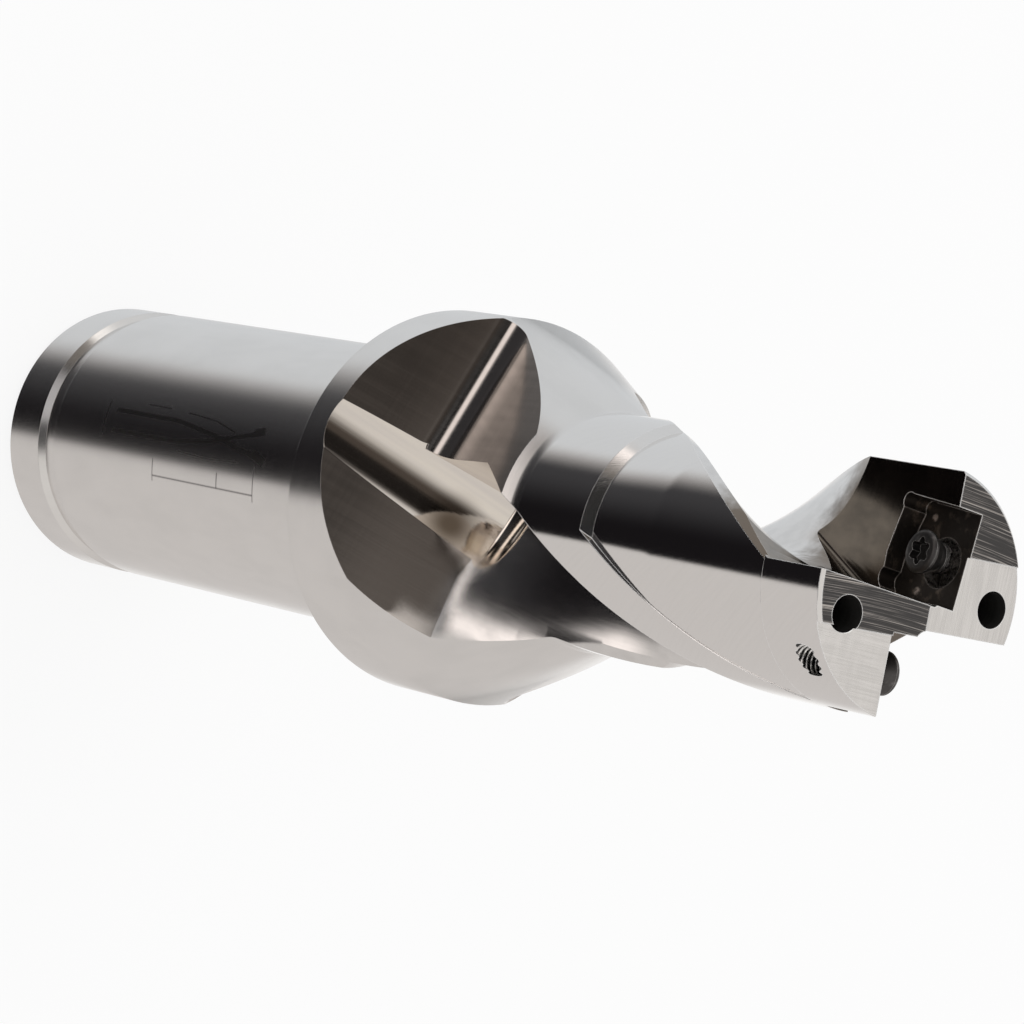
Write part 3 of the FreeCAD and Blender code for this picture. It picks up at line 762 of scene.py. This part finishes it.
def shade(piece, sharp=28):
    """Smooth faces that meet in crisp edges, also where one finish ends at another."""
    mesh = piece.data
    mesh.polygons.foreach_set("use_smooth", [True] * len(mesh.polygons))
    faces = {}
    for face in mesh.polygons:
        for key in face.edge_keys:
            faces.setdefault(key, []).append(face)
    marks = []
    for edge in mesh.edges:
        sides = faces.get(edge.key, [])
        crisp = len(sides) != 2
        if not crisp:
            bend = sides[0].normal.angle(sides[1].normal, 0)
            limit = sharp if sides[0].material_index == sides[1].material_index else 2.5
            crisp = bend > math.radians(limit)
        marks.append(crisp)
    flags = (mesh.attributes.get("sharp_edge")
             or mesh.attributes.new("sharp_edge", "BOOLEAN", "EDGE"))
    flags.data.foreach_set("value", marks)
    mesh.update()


# The drill

FLUTES = (
    {"name": "flute_one", "web": (2.9, 1.1), "web_round": 2.5, "face": (20, 2.56),
     "far": (20, 20), "lip": (-4.81, 19.17), "back": (2.39, 8.87),
     "slow_lip": (-1.45, 21), "slow_back": (2, 8.9)},
    {"name": "flute_two", "web": (0.7, 0.7), "web_round": 3, "face": (-20, -1.24),
     "far": (-20, -20), "lip": (7.82, -18.14), "back": (-0.98, -9.14),
     "slow_lip": (4.72, -20.5), "slow_back": (-0.58, -9.1)},
)
"""Sections of the flutes at the cutting end, in millimetres: the web's corner and rounding,
points of the face and of the back, and two points outside the body. The slow points are those
that the section has in the runout."""

END_BLOCKS = (
    {"name": "end_one", "side": 1, "wall": 2.68, "face": 0.2, "round": 1.2, "lean": 0,
     "rise": 0.067, "spread": 0, "straight": 11},
    {"name": "end_two", "side": -1, "wall": 0.84, "face": 2.05, "round": 0.5, "lean": 0.11,
     "rise": 0.15, "spread": 0.36, "straight": 8.5},
)
"""Blocks cut between the lands at the end, in millimetres: the side of the axis, the places of
the wall and of the flat face, and the rounding between them. Lean and rise say how the wall
moves with its depth, spread how its foot runs out, and straight how far it goes down before
it slopes."""

FRONT_CUTS = (
    {"left": 3.5, "wide": 9.95, "start": 2, "drop": 0.12, "toward": -1},
    {"left": -3.35, "wide": 6.2, "start": 1.1, "drop": 0.2, "toward": 1},
)
"""Light end faces, in millimetres: the left edge and the width, where they start, how deep
they are there, and the side to which they slope."""

INNER_POCKET = ((-4.25, 5.95), (0.4, 7.25), (3.8, 7.25), (3.8, -2), (-3.65, -2))
"""Corners of the inner pocket in millimetres, across from its screw and down from the end."""

INNER_CORNERS = ((-3.6, 5.72, 0.7), (2.4, 6.75, 0.9))
"""Corner reliefs of the inner pocket: across, down and radius in millimetres."""

INNER_HEIGHT = 3 * mm
"""Height cut out over the inner pocket's floor, and depth of its screw's hole."""

CRESCENT_SHIFT = 0.35 * mm
CRESCENT_RADIUS = 2 * mm
CRESCENT_DEPTH = 0.25 * mm
"""The round recess beside the inner screw."""

SCREW_PLAY = 0.03 * mm
"""Gap between the screws and their holes."""

COOLANT_OUTLETS = ((2.53, -6.85), (0.2, 7.59))
"""Places of the coolant outlets in millimetres."""


def plane_axes(heading):
    """Directions of a plane through the axis that faces an azimuth."""
    out = Vector((math.cos(heading), math.sin(heading), 0))
    side = Vector((math.sin(heading), -math.cos(heading), 0))
    return out, side


def vectors(*pairs):
    return [Vector(pair) for pair in pairs]


def blank():
    """The turned form before anything is milled into it."""
    end = end_height()
    front = s.shank_length + s.flange_length
    foot = front + (s.flange_radius - s.body_radius) / math.tan(s.cone_angle)
    slope = s.cone_angle
    reach = s.cone_round * math.tan(slope / 2)
    middle = Vector((s.body_radius + s.cone_round, foot + reach))
    pieces = 8
    arc = []
    for k in range(pieces + 1):
        turn = slope * (1 - k / pieces)
        arc.append((middle.x - s.cone_round * math.cos(turn),
                    middle.y - s.cone_round * math.sin(turn)))
    groove_end = s.ring_start + s.ring_width
    profile = [(0, 0), (s.shank_radius - s.shank_edge, 0), (s.shank_radius, s.shank_edge),
               (s.shank_radius, s.ring_start),
               (s.shank_radius - s.ring_depth, s.ring_start + s.ring_slope),
               (s.shank_radius - s.ring_depth, groove_end - s.ring_slope),
               (s.shank_radius, groove_end), (s.shank_radius, s.shank_length),
               (s.flange_radius - s.flange_edge, s.shank_length),
               (s.flange_radius, s.shank_length + s.flange_edge),
               (s.flange_radius, front)] + arc
    kinds = ["turned"] * (len(profile) - 1)
    profile += [(s.body_radius, end - s.front_edge), (s.body_radius - s.front_edge, end),
                (0, end)]
    kinds += ["land", "land", "ridged"]
    return turned("drill_body_visual", profile, kinds, 720)


def crossing(first, second, third, fourth):
    """Where the line of the first two points meets the line of the other two."""
    along = second - first
    other = fourth - third
    share = (third - first).cross(other) / along.cross(other)
    return first + along * share


def ease(given, low, high):
    share = min(1, max(0, (given - low) / (high - low)))
    return share * share * (3 - 2 * share)


def flute_tool(shape, heading):
    """The form of one flute. Its face keeps the lead, and its back slows down in the
    runout."""
    web, face, far, lip, back, slow_lip, slow_back = [
        Vector(shape[word]) * mm
        for word in ("web", "face", "far", "lip", "back", "slow_lip", "slow_back")]
    top = end_height() - s.straight
    low = s.shank_length
    rows = 170
    loops = []
    slow_turn = 0
    last = top
    for row in range(rows + 1):
        z = top + (low - top) * row / rows
        share = ease(z, s.slow_top + s.slow_blend, s.slow_top - s.slow_blend)
        turn = -(top - z) / s.lead * 2 * math.pi
        rate = (1 - share) / s.lead + share / s.slow_lead
        slow_turn -= (last - z) * rate * 2 * math.pi
        last = z
        face_in = turned_point(web, turn)
        face_far = turned_point(face, turn)
        back_in = turned_point(web, slow_turn)
        back_out = turned_point(back.lerp(slow_back, share), slow_turn)
        corner = crossing(face_in, face_far, back_in, back_out)
        outline = [(corner.x, corner.y, shape["web_round"] * mm), tuple(face_far),
                   tuple(turned_point(far, (turn + slow_turn) / 2)),
                   tuple(turned_point(lip.lerp(slow_lip, share), slow_turn)), tuple(back_out)]
        section = rounded(outline, parts=[28, 1, 1, 10, 14])
        loops.append([(p.x, p.y, z) for p in section])
    made = loft(shape["name"], loops, "flute")
    out, side = plane_axes(heading)
    up = Vector((0, 0, 1))
    reach = 40 * mm
    foot = s.shank_length / 2
    incline = math.tan(s.scoop_slope)
    below = vectors((reach, s.scoop_rim + (s.flange_radius - reach) * incline),
                    (-reach, s.scoop_rim + (s.flange_radius + reach) * incline),
                    (-reach, foot), (reach, foot - 1 * mm))
    combine(made, prism("runout_end", below, side * -reach, out, up, side * 2 * reach, "runout"))
    ledge = vectors((-reach, foot), (reach, foot), (reach, s.slow_top), (-reach, s.slow_top))
    combine(made, prism("shoulder", ledge, side * -s.ledge_shift, out, up, side * reach,
                        "trough"))
    return made


def shelf_tool(heading):
    """The cut that leaves a flat shelf above a runout's slope."""
    incline = math.tan(s.scoop_slope)
    out, side = plane_axes(heading)
    rim = s.flange_radius + BEYOND
    foot = s.scoop_rim + (s.flange_radius - s.shelf_foot) * incline
    section = rounded([(rim, s.scoop_rim - BEYOND * incline), (rim, s.shelf_top),
                       (s.shelf_head, s.shelf_top), (s.shelf_foot, foot, s.shelf_round)])
    reach = 20 * mm
    return prism("shelf", section, side * -reach, out, Vector((0, 0, 1)), side * 2 * reach,
                 "runout")


def trough_axis():
    """Where the axis of a trough starts outside the collar, and its direction."""
    slope = s.scoop_slope
    lift = s.trough_radius - s.trough_depth
    foot = s.scoop_rim - BEYOND * math.tan(slope)
    start = Vector((s.flange_radius + BEYOND + lift * math.sin(slope), s.trough_side,
                    foot + lift * math.cos(slope)))
    tilt = math.radians(90) - slope + s.trough_tilt
    return start, Vector((-math.sin(tilt), 0, math.cos(tilt)))


def trough_tool(heading):
    """The round groove down a runout, without what lies above the slope."""
    radius = s.trough_radius
    start, direction = trough_axis()
    bar = cylinder("trough", start, direction, radius, s.trough_length, "trough", 180)
    lean = math.radians(90) - s.scoop_slope
    outward_side = Vector((math.cos(lean), 0, math.sin(lean)))
    along = Vector((-math.sin(lean), 0, math.cos(lean)))
    reach = 26 * mm
    half = 12 * mm
    above = vectors((s.trough_skin, -radius), (s.trough_skin, reach), (3 * radius, reach),
                    (3 * radius, -radius))
    corner = Vector((s.flange_radius + BEYOND, half,
                     s.scoop_rim - BEYOND * math.tan(s.scoop_slope)))
    combine(bar, prism("above", above, corner, outward_side, along,
                       Vector((0, -2 * half, 0)), "trough"))
    bar.data.transform(Matrix.Rotation(heading - s.trough_turn, 4, "Z"))
    return bar


def trough_end(heading):
    """The round end that the cutter leaves where a trough stops."""
    start, direction = trough_axis()
    radius = s.trough_radius
    depth = radius * s.end_share
    pieces = 60
    arc = [(radius * math.sin(math.pi * k / pieces), -depth * math.cos(math.pi * k / pieces))
           for k in range(1, pieces)]
    made = turned("trough_end", [(0, -depth)] + arc + [(0, depth)], "trough", 120)
    lying = Vector((0, 0, 1)).rotation_difference(direction).to_matrix().to_4x4()
    made.data.transform(Matrix.Rotation(heading - s.trough_turn, 4, "Z")
                        @ Matrix.Translation(start + direction * (s.trough_length - s.end_back))
                        @ lying)
    return made


def relief_tool(margin):
    """The thin ring sector behind a margin, wound with the flutes."""
    top = end_height() - s.straight
    low = s.shank_length + s.relief_start
    ramp = s.relief_ramp
    rows = [low + ramp * k / 6 for k in range(6)]
    rows += [low + ramp + (top - low - ramp) * k / 60 for k in range(61)]
    outer = s.body_radius + BEYOND
    count = 94
    loops = []
    for z in rows:
        up = z - low
        fade = max(0, min(1, (up - ramp) / (s.relief_fade - ramp)))
        deep = (s.relief_depth * min(1, up / ramp)
                + (s.relief_shallow - s.relief_depth) * fade)
        inner = s.body_radius - deep
        last = margin - (top - z) / s.lead * 2 * math.pi
        turns = [last - s.relief_span * k / count for k in range(count + 1)]
        loop = [(inner * math.cos(t), inner * math.sin(t), z) for t in turns]
        loop += [(outer * math.cos(t), outer * math.sin(t), z) for t in reversed(turns)]
        loops.append(loop)
    return loft("relief", loops, "land")


def end_tool(shape):
    """The block between a land's flat face and the other land's flat back."""
    top = end_height()
    side = shape["side"]
    radius = shape["round"] * mm
    straight = shape["straight"] * mm
    heading = Vector((side * shape["lean"], side, shape["rise"])).normalized()
    ramp = math.atan2(s.block_drop - straight, s.block_foot)
    pieces = 12
    far = 20 * mm
    loops = []
    for k in range(pieces + 2):
        deep = radius * k / pieces if k <= pieces else far
        sunk = min(deep, radius)
        inset = radius - math.sqrt(max(0, radius ** 2 - (radius - sunk) ** 2))
        run = shape["spread"] * deep
        x = shape["wall"] * mm + side * inset
        bend = top - straight + inset * (1 - math.cos(ramp)) / math.sin(ramp)
        low = top - s.block_drop - run * 0.8
        foot = (shape["wall"] * mm
                + side * (s.block_foot + inset / math.sin(ramp) + run * 0.6))
        outline = [(x, top + BEYOND), (x, bend), (foot, low), (side * far, low),
                   (side * far, top + BEYOND)]
        shift = heading * deep
        loops.append([(px + shift.x, shape["face"] * mm + shift.y, pz + shift.z)
                      for px, pz in outline])
    return loft(shape["name"], loops, "end")


def front_tool(shape):
    """A cut that leaves a light end face, sloping away from the axis."""
    top = end_height()
    fall = math.tan(s.front_slope)
    toward = shape["toward"]
    far = toward * (s.body_radius + BEYOND)
    drop = shape["drop"] * mm
    start = shape["start"] * mm
    near_drop = drop if toward > 0 else drop - start * fall
    section = vectors((start, top - near_drop), (far, top - drop - abs(far) * fall),
                      (far, top + BEYOND), (start, top + BEYOND))
    return prism("front", section, Vector((shape["left"] * mm, 0, 0)), Vector((0, 1, 0)),
                 Vector((0, 0, 1)), Vector((shape["wide"] * mm, 0, 0)), "facet")


def cut_outer_pocket(drill):
    top = end_height()
    base = Vector((0, s.outer_floor, 0))
    across = Vector((1, 0, 0))
    over = Vector((0, 1, 0))
    up = Vector((0, 0, 1))
    low = top - s.outer_length
    section = vectors((s.outer_wall, low), (20 * mm, low), (20 * mm, top + BEYOND),
                      (s.outer_wall, top + BEYOND))
    combine(drill, prism("pocket", section, base, across, up, over * s.outer_height, "seat"))
    corner = base + across * (s.outer_wall + s.outer_inset) + up * (low + s.outer_inset)
    combine(drill, cylinder("corner", corner, over, s.outer_corner, s.outer_height, "seat"))
    hole = Vector((s.outer_screw_x, s.outer_floor + 1 * mm, top - s.outer_screw_drop))
    combine(drill, cylinder("roomy", hole, -over, s.screw_radius + SCREW_PLAY, 4 * mm,
                            "thread"))
    tapped = threaded("tapped", s.screw_radius - s.thread_depth,
                      s.thread_depth + SCREW_PLAY, 10 * mm, "thread")
    tapped.data.transform(Matrix.Translation(hole) @ Matrix.Rotation(math.radians(90), 4, "X"))
    combine(drill, tapped)


def cut_inner_pocket(drill):
    top = end_height()
    across = Vector((math.cos(s.inner_tilt), -math.sin(s.inner_tilt), 0))
    out = Vector((-math.sin(s.inner_tilt), -math.cos(s.inner_tilt), 0))
    base = Vector((s.inner_screw_x, s.inner_floor, 0))
    up = Vector((0, 0, 1))
    section = vectors(*((x * mm, top - down * mm) for x, down in INNER_POCKET))
    combine(drill, prism("pocket", section, base, across, up, out * INNER_HEIGHT, "seat"))
    for x, down, radius in INNER_CORNERS:
        centre = base + across * (x * mm) + up * (top - down * mm)
        combine(drill, cylinder("corner", centre, out, radius * mm, INNER_HEIGHT, "seat"))
    centre = (base + across * CRESCENT_SHIFT
              + up * (top - s.inner_screw_drop + CRESCENT_SHIFT))
    combine(drill, cylinder("crescent", centre, -out, CRESCENT_RADIUS, CRESCENT_DEPTH, "seat"))
    centre = base + up * (top - s.inner_screw_drop)
    combine(drill, cylinder("hole", centre, -out, s.screw_radius + SCREW_PLAY, INNER_HEIGHT,
                            "seat"))


def cut_coolant(drill):
    top = end_height()
    level = top - s.outlet_straight
    bore_end = s.shank_length - s.inlet_short
    rim = s.inlet_radius + s.inlet_edge + BEYOND
    profile = [(0, -BEYOND), (rim, -BEYOND), (s.inlet_radius, s.inlet_edge),
               (s.inlet_radius, bore_end), (0, bore_end + s.inlet_point)]
    combine(drill, turned("inlet", profile, "bore", 192))
    shared = 0.2 * mm
    for x, y in COOLANT_OUTLETS:
        ring = circle(x * mm, y * mm, s.outlet_radius, 64)
        combine(drill, cylinder("outlet", Vector((x * mm, y * mm, level)), Vector((0, 0, 1)),
                                s.outlet_radius, s.outlet_straight + BEYOND, "bore"))
        combine(drill, wound("channel", ring, level + shared, bore_end - s.channel_overlap,
                             shared / s.lead * 2 * math.pi, s.lead, "bore"))


def threaded(name, inner, deep, long, finish):
    """A rod with a thread, along Z from its origin."""
    pitch = s.thread_pitch
    count = 48
    rows = round(long / pitch * 12)
    loops = []
    for row in range(rows + 1):
        z = long * row / rows
        loop = []
        for i in range(count):
            turn = 2 * math.pi * i / count
            phase = (z / pitch - i / count) % 1
            ridge = min(1, max(0, 1.5 - abs(phase - 0.5) * 4)) if phase else 0
            radius = inner + deep * ridge
            loop.append((radius * math.cos(turn), radius * math.sin(turn), z))
        loops.append(loop)
    return loft(name, loops, finish)


class DRILL_OT_body(bpy.types.Operator):
    """Build the fluted drill with its collar, runouts and insert seats"""
    bl_idname = "drill.body"
    bl_label = "Drill body"

    def execute(self, context):
        drill = blank()
        headings = (s.scoop_azimuth, s.scoop_azimuth - math.pi)
        tools = [flute_tool(shape, heading) for shape, heading in zip(FLUTES, headings)]
        for build in (shelf_tool, trough_tool, trough_end):
            tools += [build(heading) for heading in headings]
        tools += [relief_tool(margin) for margin in (s.margin_one, s.margin_two)]
        tools += [end_tool(shape) for shape in END_BLOCKS]
        tools += [front_tool(shape) for shape in FRONT_CUTS]
        for tool in tools:
            combine(drill, tool)
        cut_outer_pocket(drill)
        cut_inner_pocket(drill)
        cut_coolant(drill)
        shade(drill)
        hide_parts("drill_body")
        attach(drill, "root")
        return {"FINISHED"}


class DRILL_OT_screws(bpy.types.Operator):
    """Build the two clamping screws with their six-lobed sockets and threads"""
    bl_idname = "drill.screws"
    bl_label = "Clamping screws"

    def execute(self, context):
        top = end_height()
        quarter = math.radians(90)
        places = (
            ("peripheral_insert_screw", (s.outer_screw_x, s.outer_floor, top - s.outer_screw_drop),
             Matrix.Rotation(-quarter, 4, "X")),
            ("central_insert_screw", (s.inner_screw_x, s.inner_floor, top - s.inner_screw_drop),
             Matrix.Rotation(-s.inner_tilt, 4, "Z") @ Matrix.Rotation(quarter, 4, "X")))
        for name, spot, turn in places:
            screw = self.screw(name + "_visual")
            screw.data.transform(Matrix.Translation(spot) @ turn)
            shade(screw, 32)
            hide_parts(name)
            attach(screw, "root")
        return {"FINISHED"}

    def screw(self, name):
        head = s.head_radius
        top = s.head_lift
        neck = top - 0.45 * mm - (head - s.screw_radius) / math.tan(s.head_angle)
        profile = [(0, neck - 0.6 * mm), (s.screw_radius - 0.12 * mm, neck - 0.6 * mm),
                   (s.screw_radius - 0.12 * mm, neck - 0.1 * mm), (s.screw_radius, neck),
                   (head - 0.05 * mm, top - 0.48 * mm), (head, top - 0.42 * mm),
                   (head, top - 0.22 * mm), (head - 0.06 * mm, top - 0.13 * mm),
                   (head - 0.28 * mm, top - 0.01 * mm), (head - 0.4 * mm, top), (0, top)]
        made = turned(name, profile, "screw", 96)
        long = s.screw_length - (top - neck) - 0.4 * mm
        rod = threaded("rod", s.screw_radius - 0.2 * mm, 0.19 * mm, long, "screw")
        rod.data.transform(Matrix.Translation((0, 0, top - s.screw_length)))
        combine(made, rod, "UNION")
        count = 144
        ring = []
        for i in range(count):
            turn = 2 * math.pi * i / count
            lobe = (0.5 + 0.5 * math.cos(6 * turn)) ** 0.8
            radius = s.socket_radius + s.socket_lobe * lobe
            ring.append(Vector((radius * math.cos(turn), radius * math.sin(turn))))
        tool = prism("socket", ring, Vector((0, 0, top - s.socket_depth)),
                     Vector((1, 0, 0)), Vector((0, 1, 0)), Vector((0, 0, 2 * mm)), "screw")
        combine(made, tool)
        return made


# Stage

ROOM_PATCHES = (
    ((-126, -89, 4, 2), (14.5, 24, 1.5, 2), (0.5, 0.49, 0.5)),
    ((-91, -70, 2, 3), (7, 34, 2, 3), (0.02, 0.02, 0.022)),
    ((-200, -118, 4, 22), (26, 62, 7, 6), (0.07, 0.058, 0.05)),
    ((150, 200, 8, 4), (20, 62, 7, 6), (0.07, 0.058, 0.05)),
    ((-158, -134, 3, 4), (3, 26, 2, 4), (0.15, 0.135, 0.12)),
)
"""Grey and dark patches of the soft room: the edges round it and their blends, the edges
upward and their blends, all in degrees, and the colour."""


class DRILL_OT_stage(bpy.types.Operator):
    """Build the floor, the soft light and the camera"""
    bl_idname = "drill.stage"
    bl_label = "Stage"

    def execute(self, context):
        self.floor()
        self.room()
        self.lamps()
        self.camera()
        context.scene.view_settings.view_transform = "Standard"
        return {"FINISHED"}

    def seen(self, nodes):
        """One for the rays that see the background itself or in metal."""
        camera, glossy, through = [
            nodes.add("ShaderNodeLightPath", output="Is %s Ray" % kind)
            for kind in ("Camera", "Glossy", "Transmission")]
        return nodes.clamp(camera + glossy + through)

    def floor(self):
        reach = 3.0
        points = [(-reach, -reach, 0), (reach, -reach, 0), (reach, reach, 0), (-reach, reach, 0)]
        mesh = bpy.data.meshes.new("floor")
        mesh.from_pydata(points, [], [(0, 1, 2, 3)])
        floor = bpy.data.objects.new("floor", mesh)
        bpy.context.collection.objects.link(floor)
        nodes = material("pale_floor")
        paper = nodes.add("ShaderNodeBsdfDiffuse", None,
                          {"Color": rgba(s.floor)})
        glow = nodes.add("ShaderNodeEmission", None, {"Color": (1, 1, 1, 1), "Strength": 1.0})
        both = nodes.add("ShaderNodeMixShader", None,
                         {0: self.seen(nodes) * 0.85, 1: paper, 2: glow})
        nodes.add("ShaderNodeOutputMaterial", None, {"Surface": both})
        mesh.materials.append(bpy.data.materials["pale_floor"])
        floor.visible_glossy = False

    def room(self):
        world = bpy.data.worlds.new("soft_room")
        world.use_nodes = True
        bpy.context.scene.world = world
        nodes = Nodes(world.node_tree)
        x, y, z = nodes.axes("Generated")
        degree = math.degrees(1)
        turn = nodes.maths("ARCTAN2", y, x) * degree
        rise = nodes.maths("ARCSINE", z) * degree

        def patch(light, across, upward, tone):
            """The light with a soft patch in it."""
            share = nodes.band(turn, *across) * nodes.band(rise, *upward)
            return nodes.mix(share, light, rgba(tone))

        cool = (0.66, 0.68, 0.70, 1)
        light = nodes.mix(nodes.band(turn, 100, 200, 12, 1), (0.62, 0.595, 0.58, 1), cool)
        light = nodes.mix(nodes.smooth(turn, -150, -172), light, cool)
        light = patch(light, (62, 104, 16, 10), (-75, -20, 8, 10), (0.98, 0.97, 0.96))
        light = nodes.mix(nodes.smooth(rise, -8, 20), light, (0.72, 0.70, 0.68, 1))
        edge = nodes.smooth(rise, -45, -30) * 22
        flag = (nodes.smooth(turn, -169, -141) * nodes.smooth(turn - edge, -78.5, -75.5, 1, 0)
                * nodes.smooth(rise, -15, -4.5, 1, 0))
        shadow = nodes.mix(nodes.smooth(turn, -142, -98), (0.05, 0.049, 0.052, 1),
                           (0.009, 0.008, 0.009, 1))
        light = nodes.mix(flag, light, shadow)
        light = patch(light, (-160, -64, 4, 8), (-8, 2.6, 3, 1.5), (1.25, 1.16, 1.12))
        top = 20 - nodes.smooth(turn, -112, -124, 0, -14)
        lid = (nodes.band(turn, -150, -84, 3, 5) * nodes.smooth(rise, 3.2, 5.6)
               * nodes.smooth(rise - top, -3, 3, 1, 0))
        light = nodes.mix(lid, light, (0.02, 0.02, 0.02, 1))
        for across, upward, tone in ROOM_PATCHES:
            light = patch(light, across, upward, tone)
        deep = nodes.smooth(turn, -146, -156) + nodes.smooth(turn, 150, 160)
        deep = nodes.clamp(deep) * nodes.band(rise, 22, 47, 6, 5)
        light = nodes.mix(deep, light, (0.012, 0.010, 0.009, 1))
        light = patch(light, (-171, -156, 3, 2), (8, 24, 2, 3), (1.5, 1.45, 1.4))
        shown = nodes.mix(self.seen(nodes), (0.8, 0.8, 0.8, 1), light)
        sky = nodes.add("ShaderNodeBackground", None, {"Color": shown, "Strength": 1.0})
        nodes.add("ShaderNodeOutputWorld", None, {"Surface": sky})

    def lamps(self):
        lamp = bpy.data.lights.new("softbox", "AREA")
        lamp.shape = "DISK"
        lamp.size = 0.6
        lamp.energy = 1.5
        light = bpy.data.objects.new("softbox", lamp)
        light.location = (-0.5, 0.2, 0.9)
        light.rotation_euler = (Vector((0, 0, 0.06)) - light.location).to_track_quat(
            "-Z", "Y").to_euler()
        bpy.context.collection.objects.link(light)

    def camera(self):
        """The photograph's view, rolled so that the drill lies across it."""
        seen = bpy.data.cameras.new("camera")
        seen.lens = 157.53
        seen.sensor_width = 36
        seen.clip_start = 0.01
        camera = bpy.data.objects.new("camera", seen)
        right = Vector((-0.19190, 0.79319, 0.57794))
        up = Vector((-0.98141, -0.15533, -0.11269))
        back = right.cross(up)
        turn = Matrix((right, up, back)).transposed().to_4x4()
        camera.matrix_world = Matrix.Translation((0, -0.22408, 0.37314)) @ turn
        bpy.context.collection.objects.link(camera)
        bpy.context.scene.camera = camera


class DRILL_PT_panel(bpy.types.Panel):
    bl_label = "Indexable drill"
    bl_idname = "DRILL_PT_panel"
    bl_space_type = "VIEW_3D"
    bl_region_type = "UI"
    bl_category = "Drill"

    def draw(self, context):
        layout = self.layout
        for word in OPERATORS:
            layout.operator(word.bl_idname)
        for word in GROUPS:
            box = layout.box()
            box.label(text=word.replace("_", " ").capitalize())
            for key in GROUPS[word].__annotations__:
                box.prop(group(word), key)


GROUPS = {"drill_blank": BlankSizes, "drill_flutes": FluteSizes, "drill_runouts": RunoutSizes,
          "drill_end": EndSizes, "drill_coolant": CoolantSizes, "drill_finishes": Finishes}
OPERATORS = (DRILL_OT_body, DRILL_OT_screws, DRILL_OT_stage)


def register():
    for kind in (*GROUPS.values(), *OPERATORS, DRILL_PT_panel):
        bpy.utils.register_class(kind)
    for word, kind in GROUPS.items():
        setattr(bpy.types.Scene, word, bpy.props.PointerProperty(type=kind))


def unregister():
    for word in GROUPS:
        delattr(bpy.types.Scene, word)
    for kind in (DRILL_PT_panel, *OPERATORS, *GROUPS.values()):
        bpy.utils.unregister_class(kind)


def main():
    register()
    bpy.ops.drill.body()
    bpy.ops.drill.screws()
    bpy.ops.drill.stage()


if __name__ == "__main__":
    main()
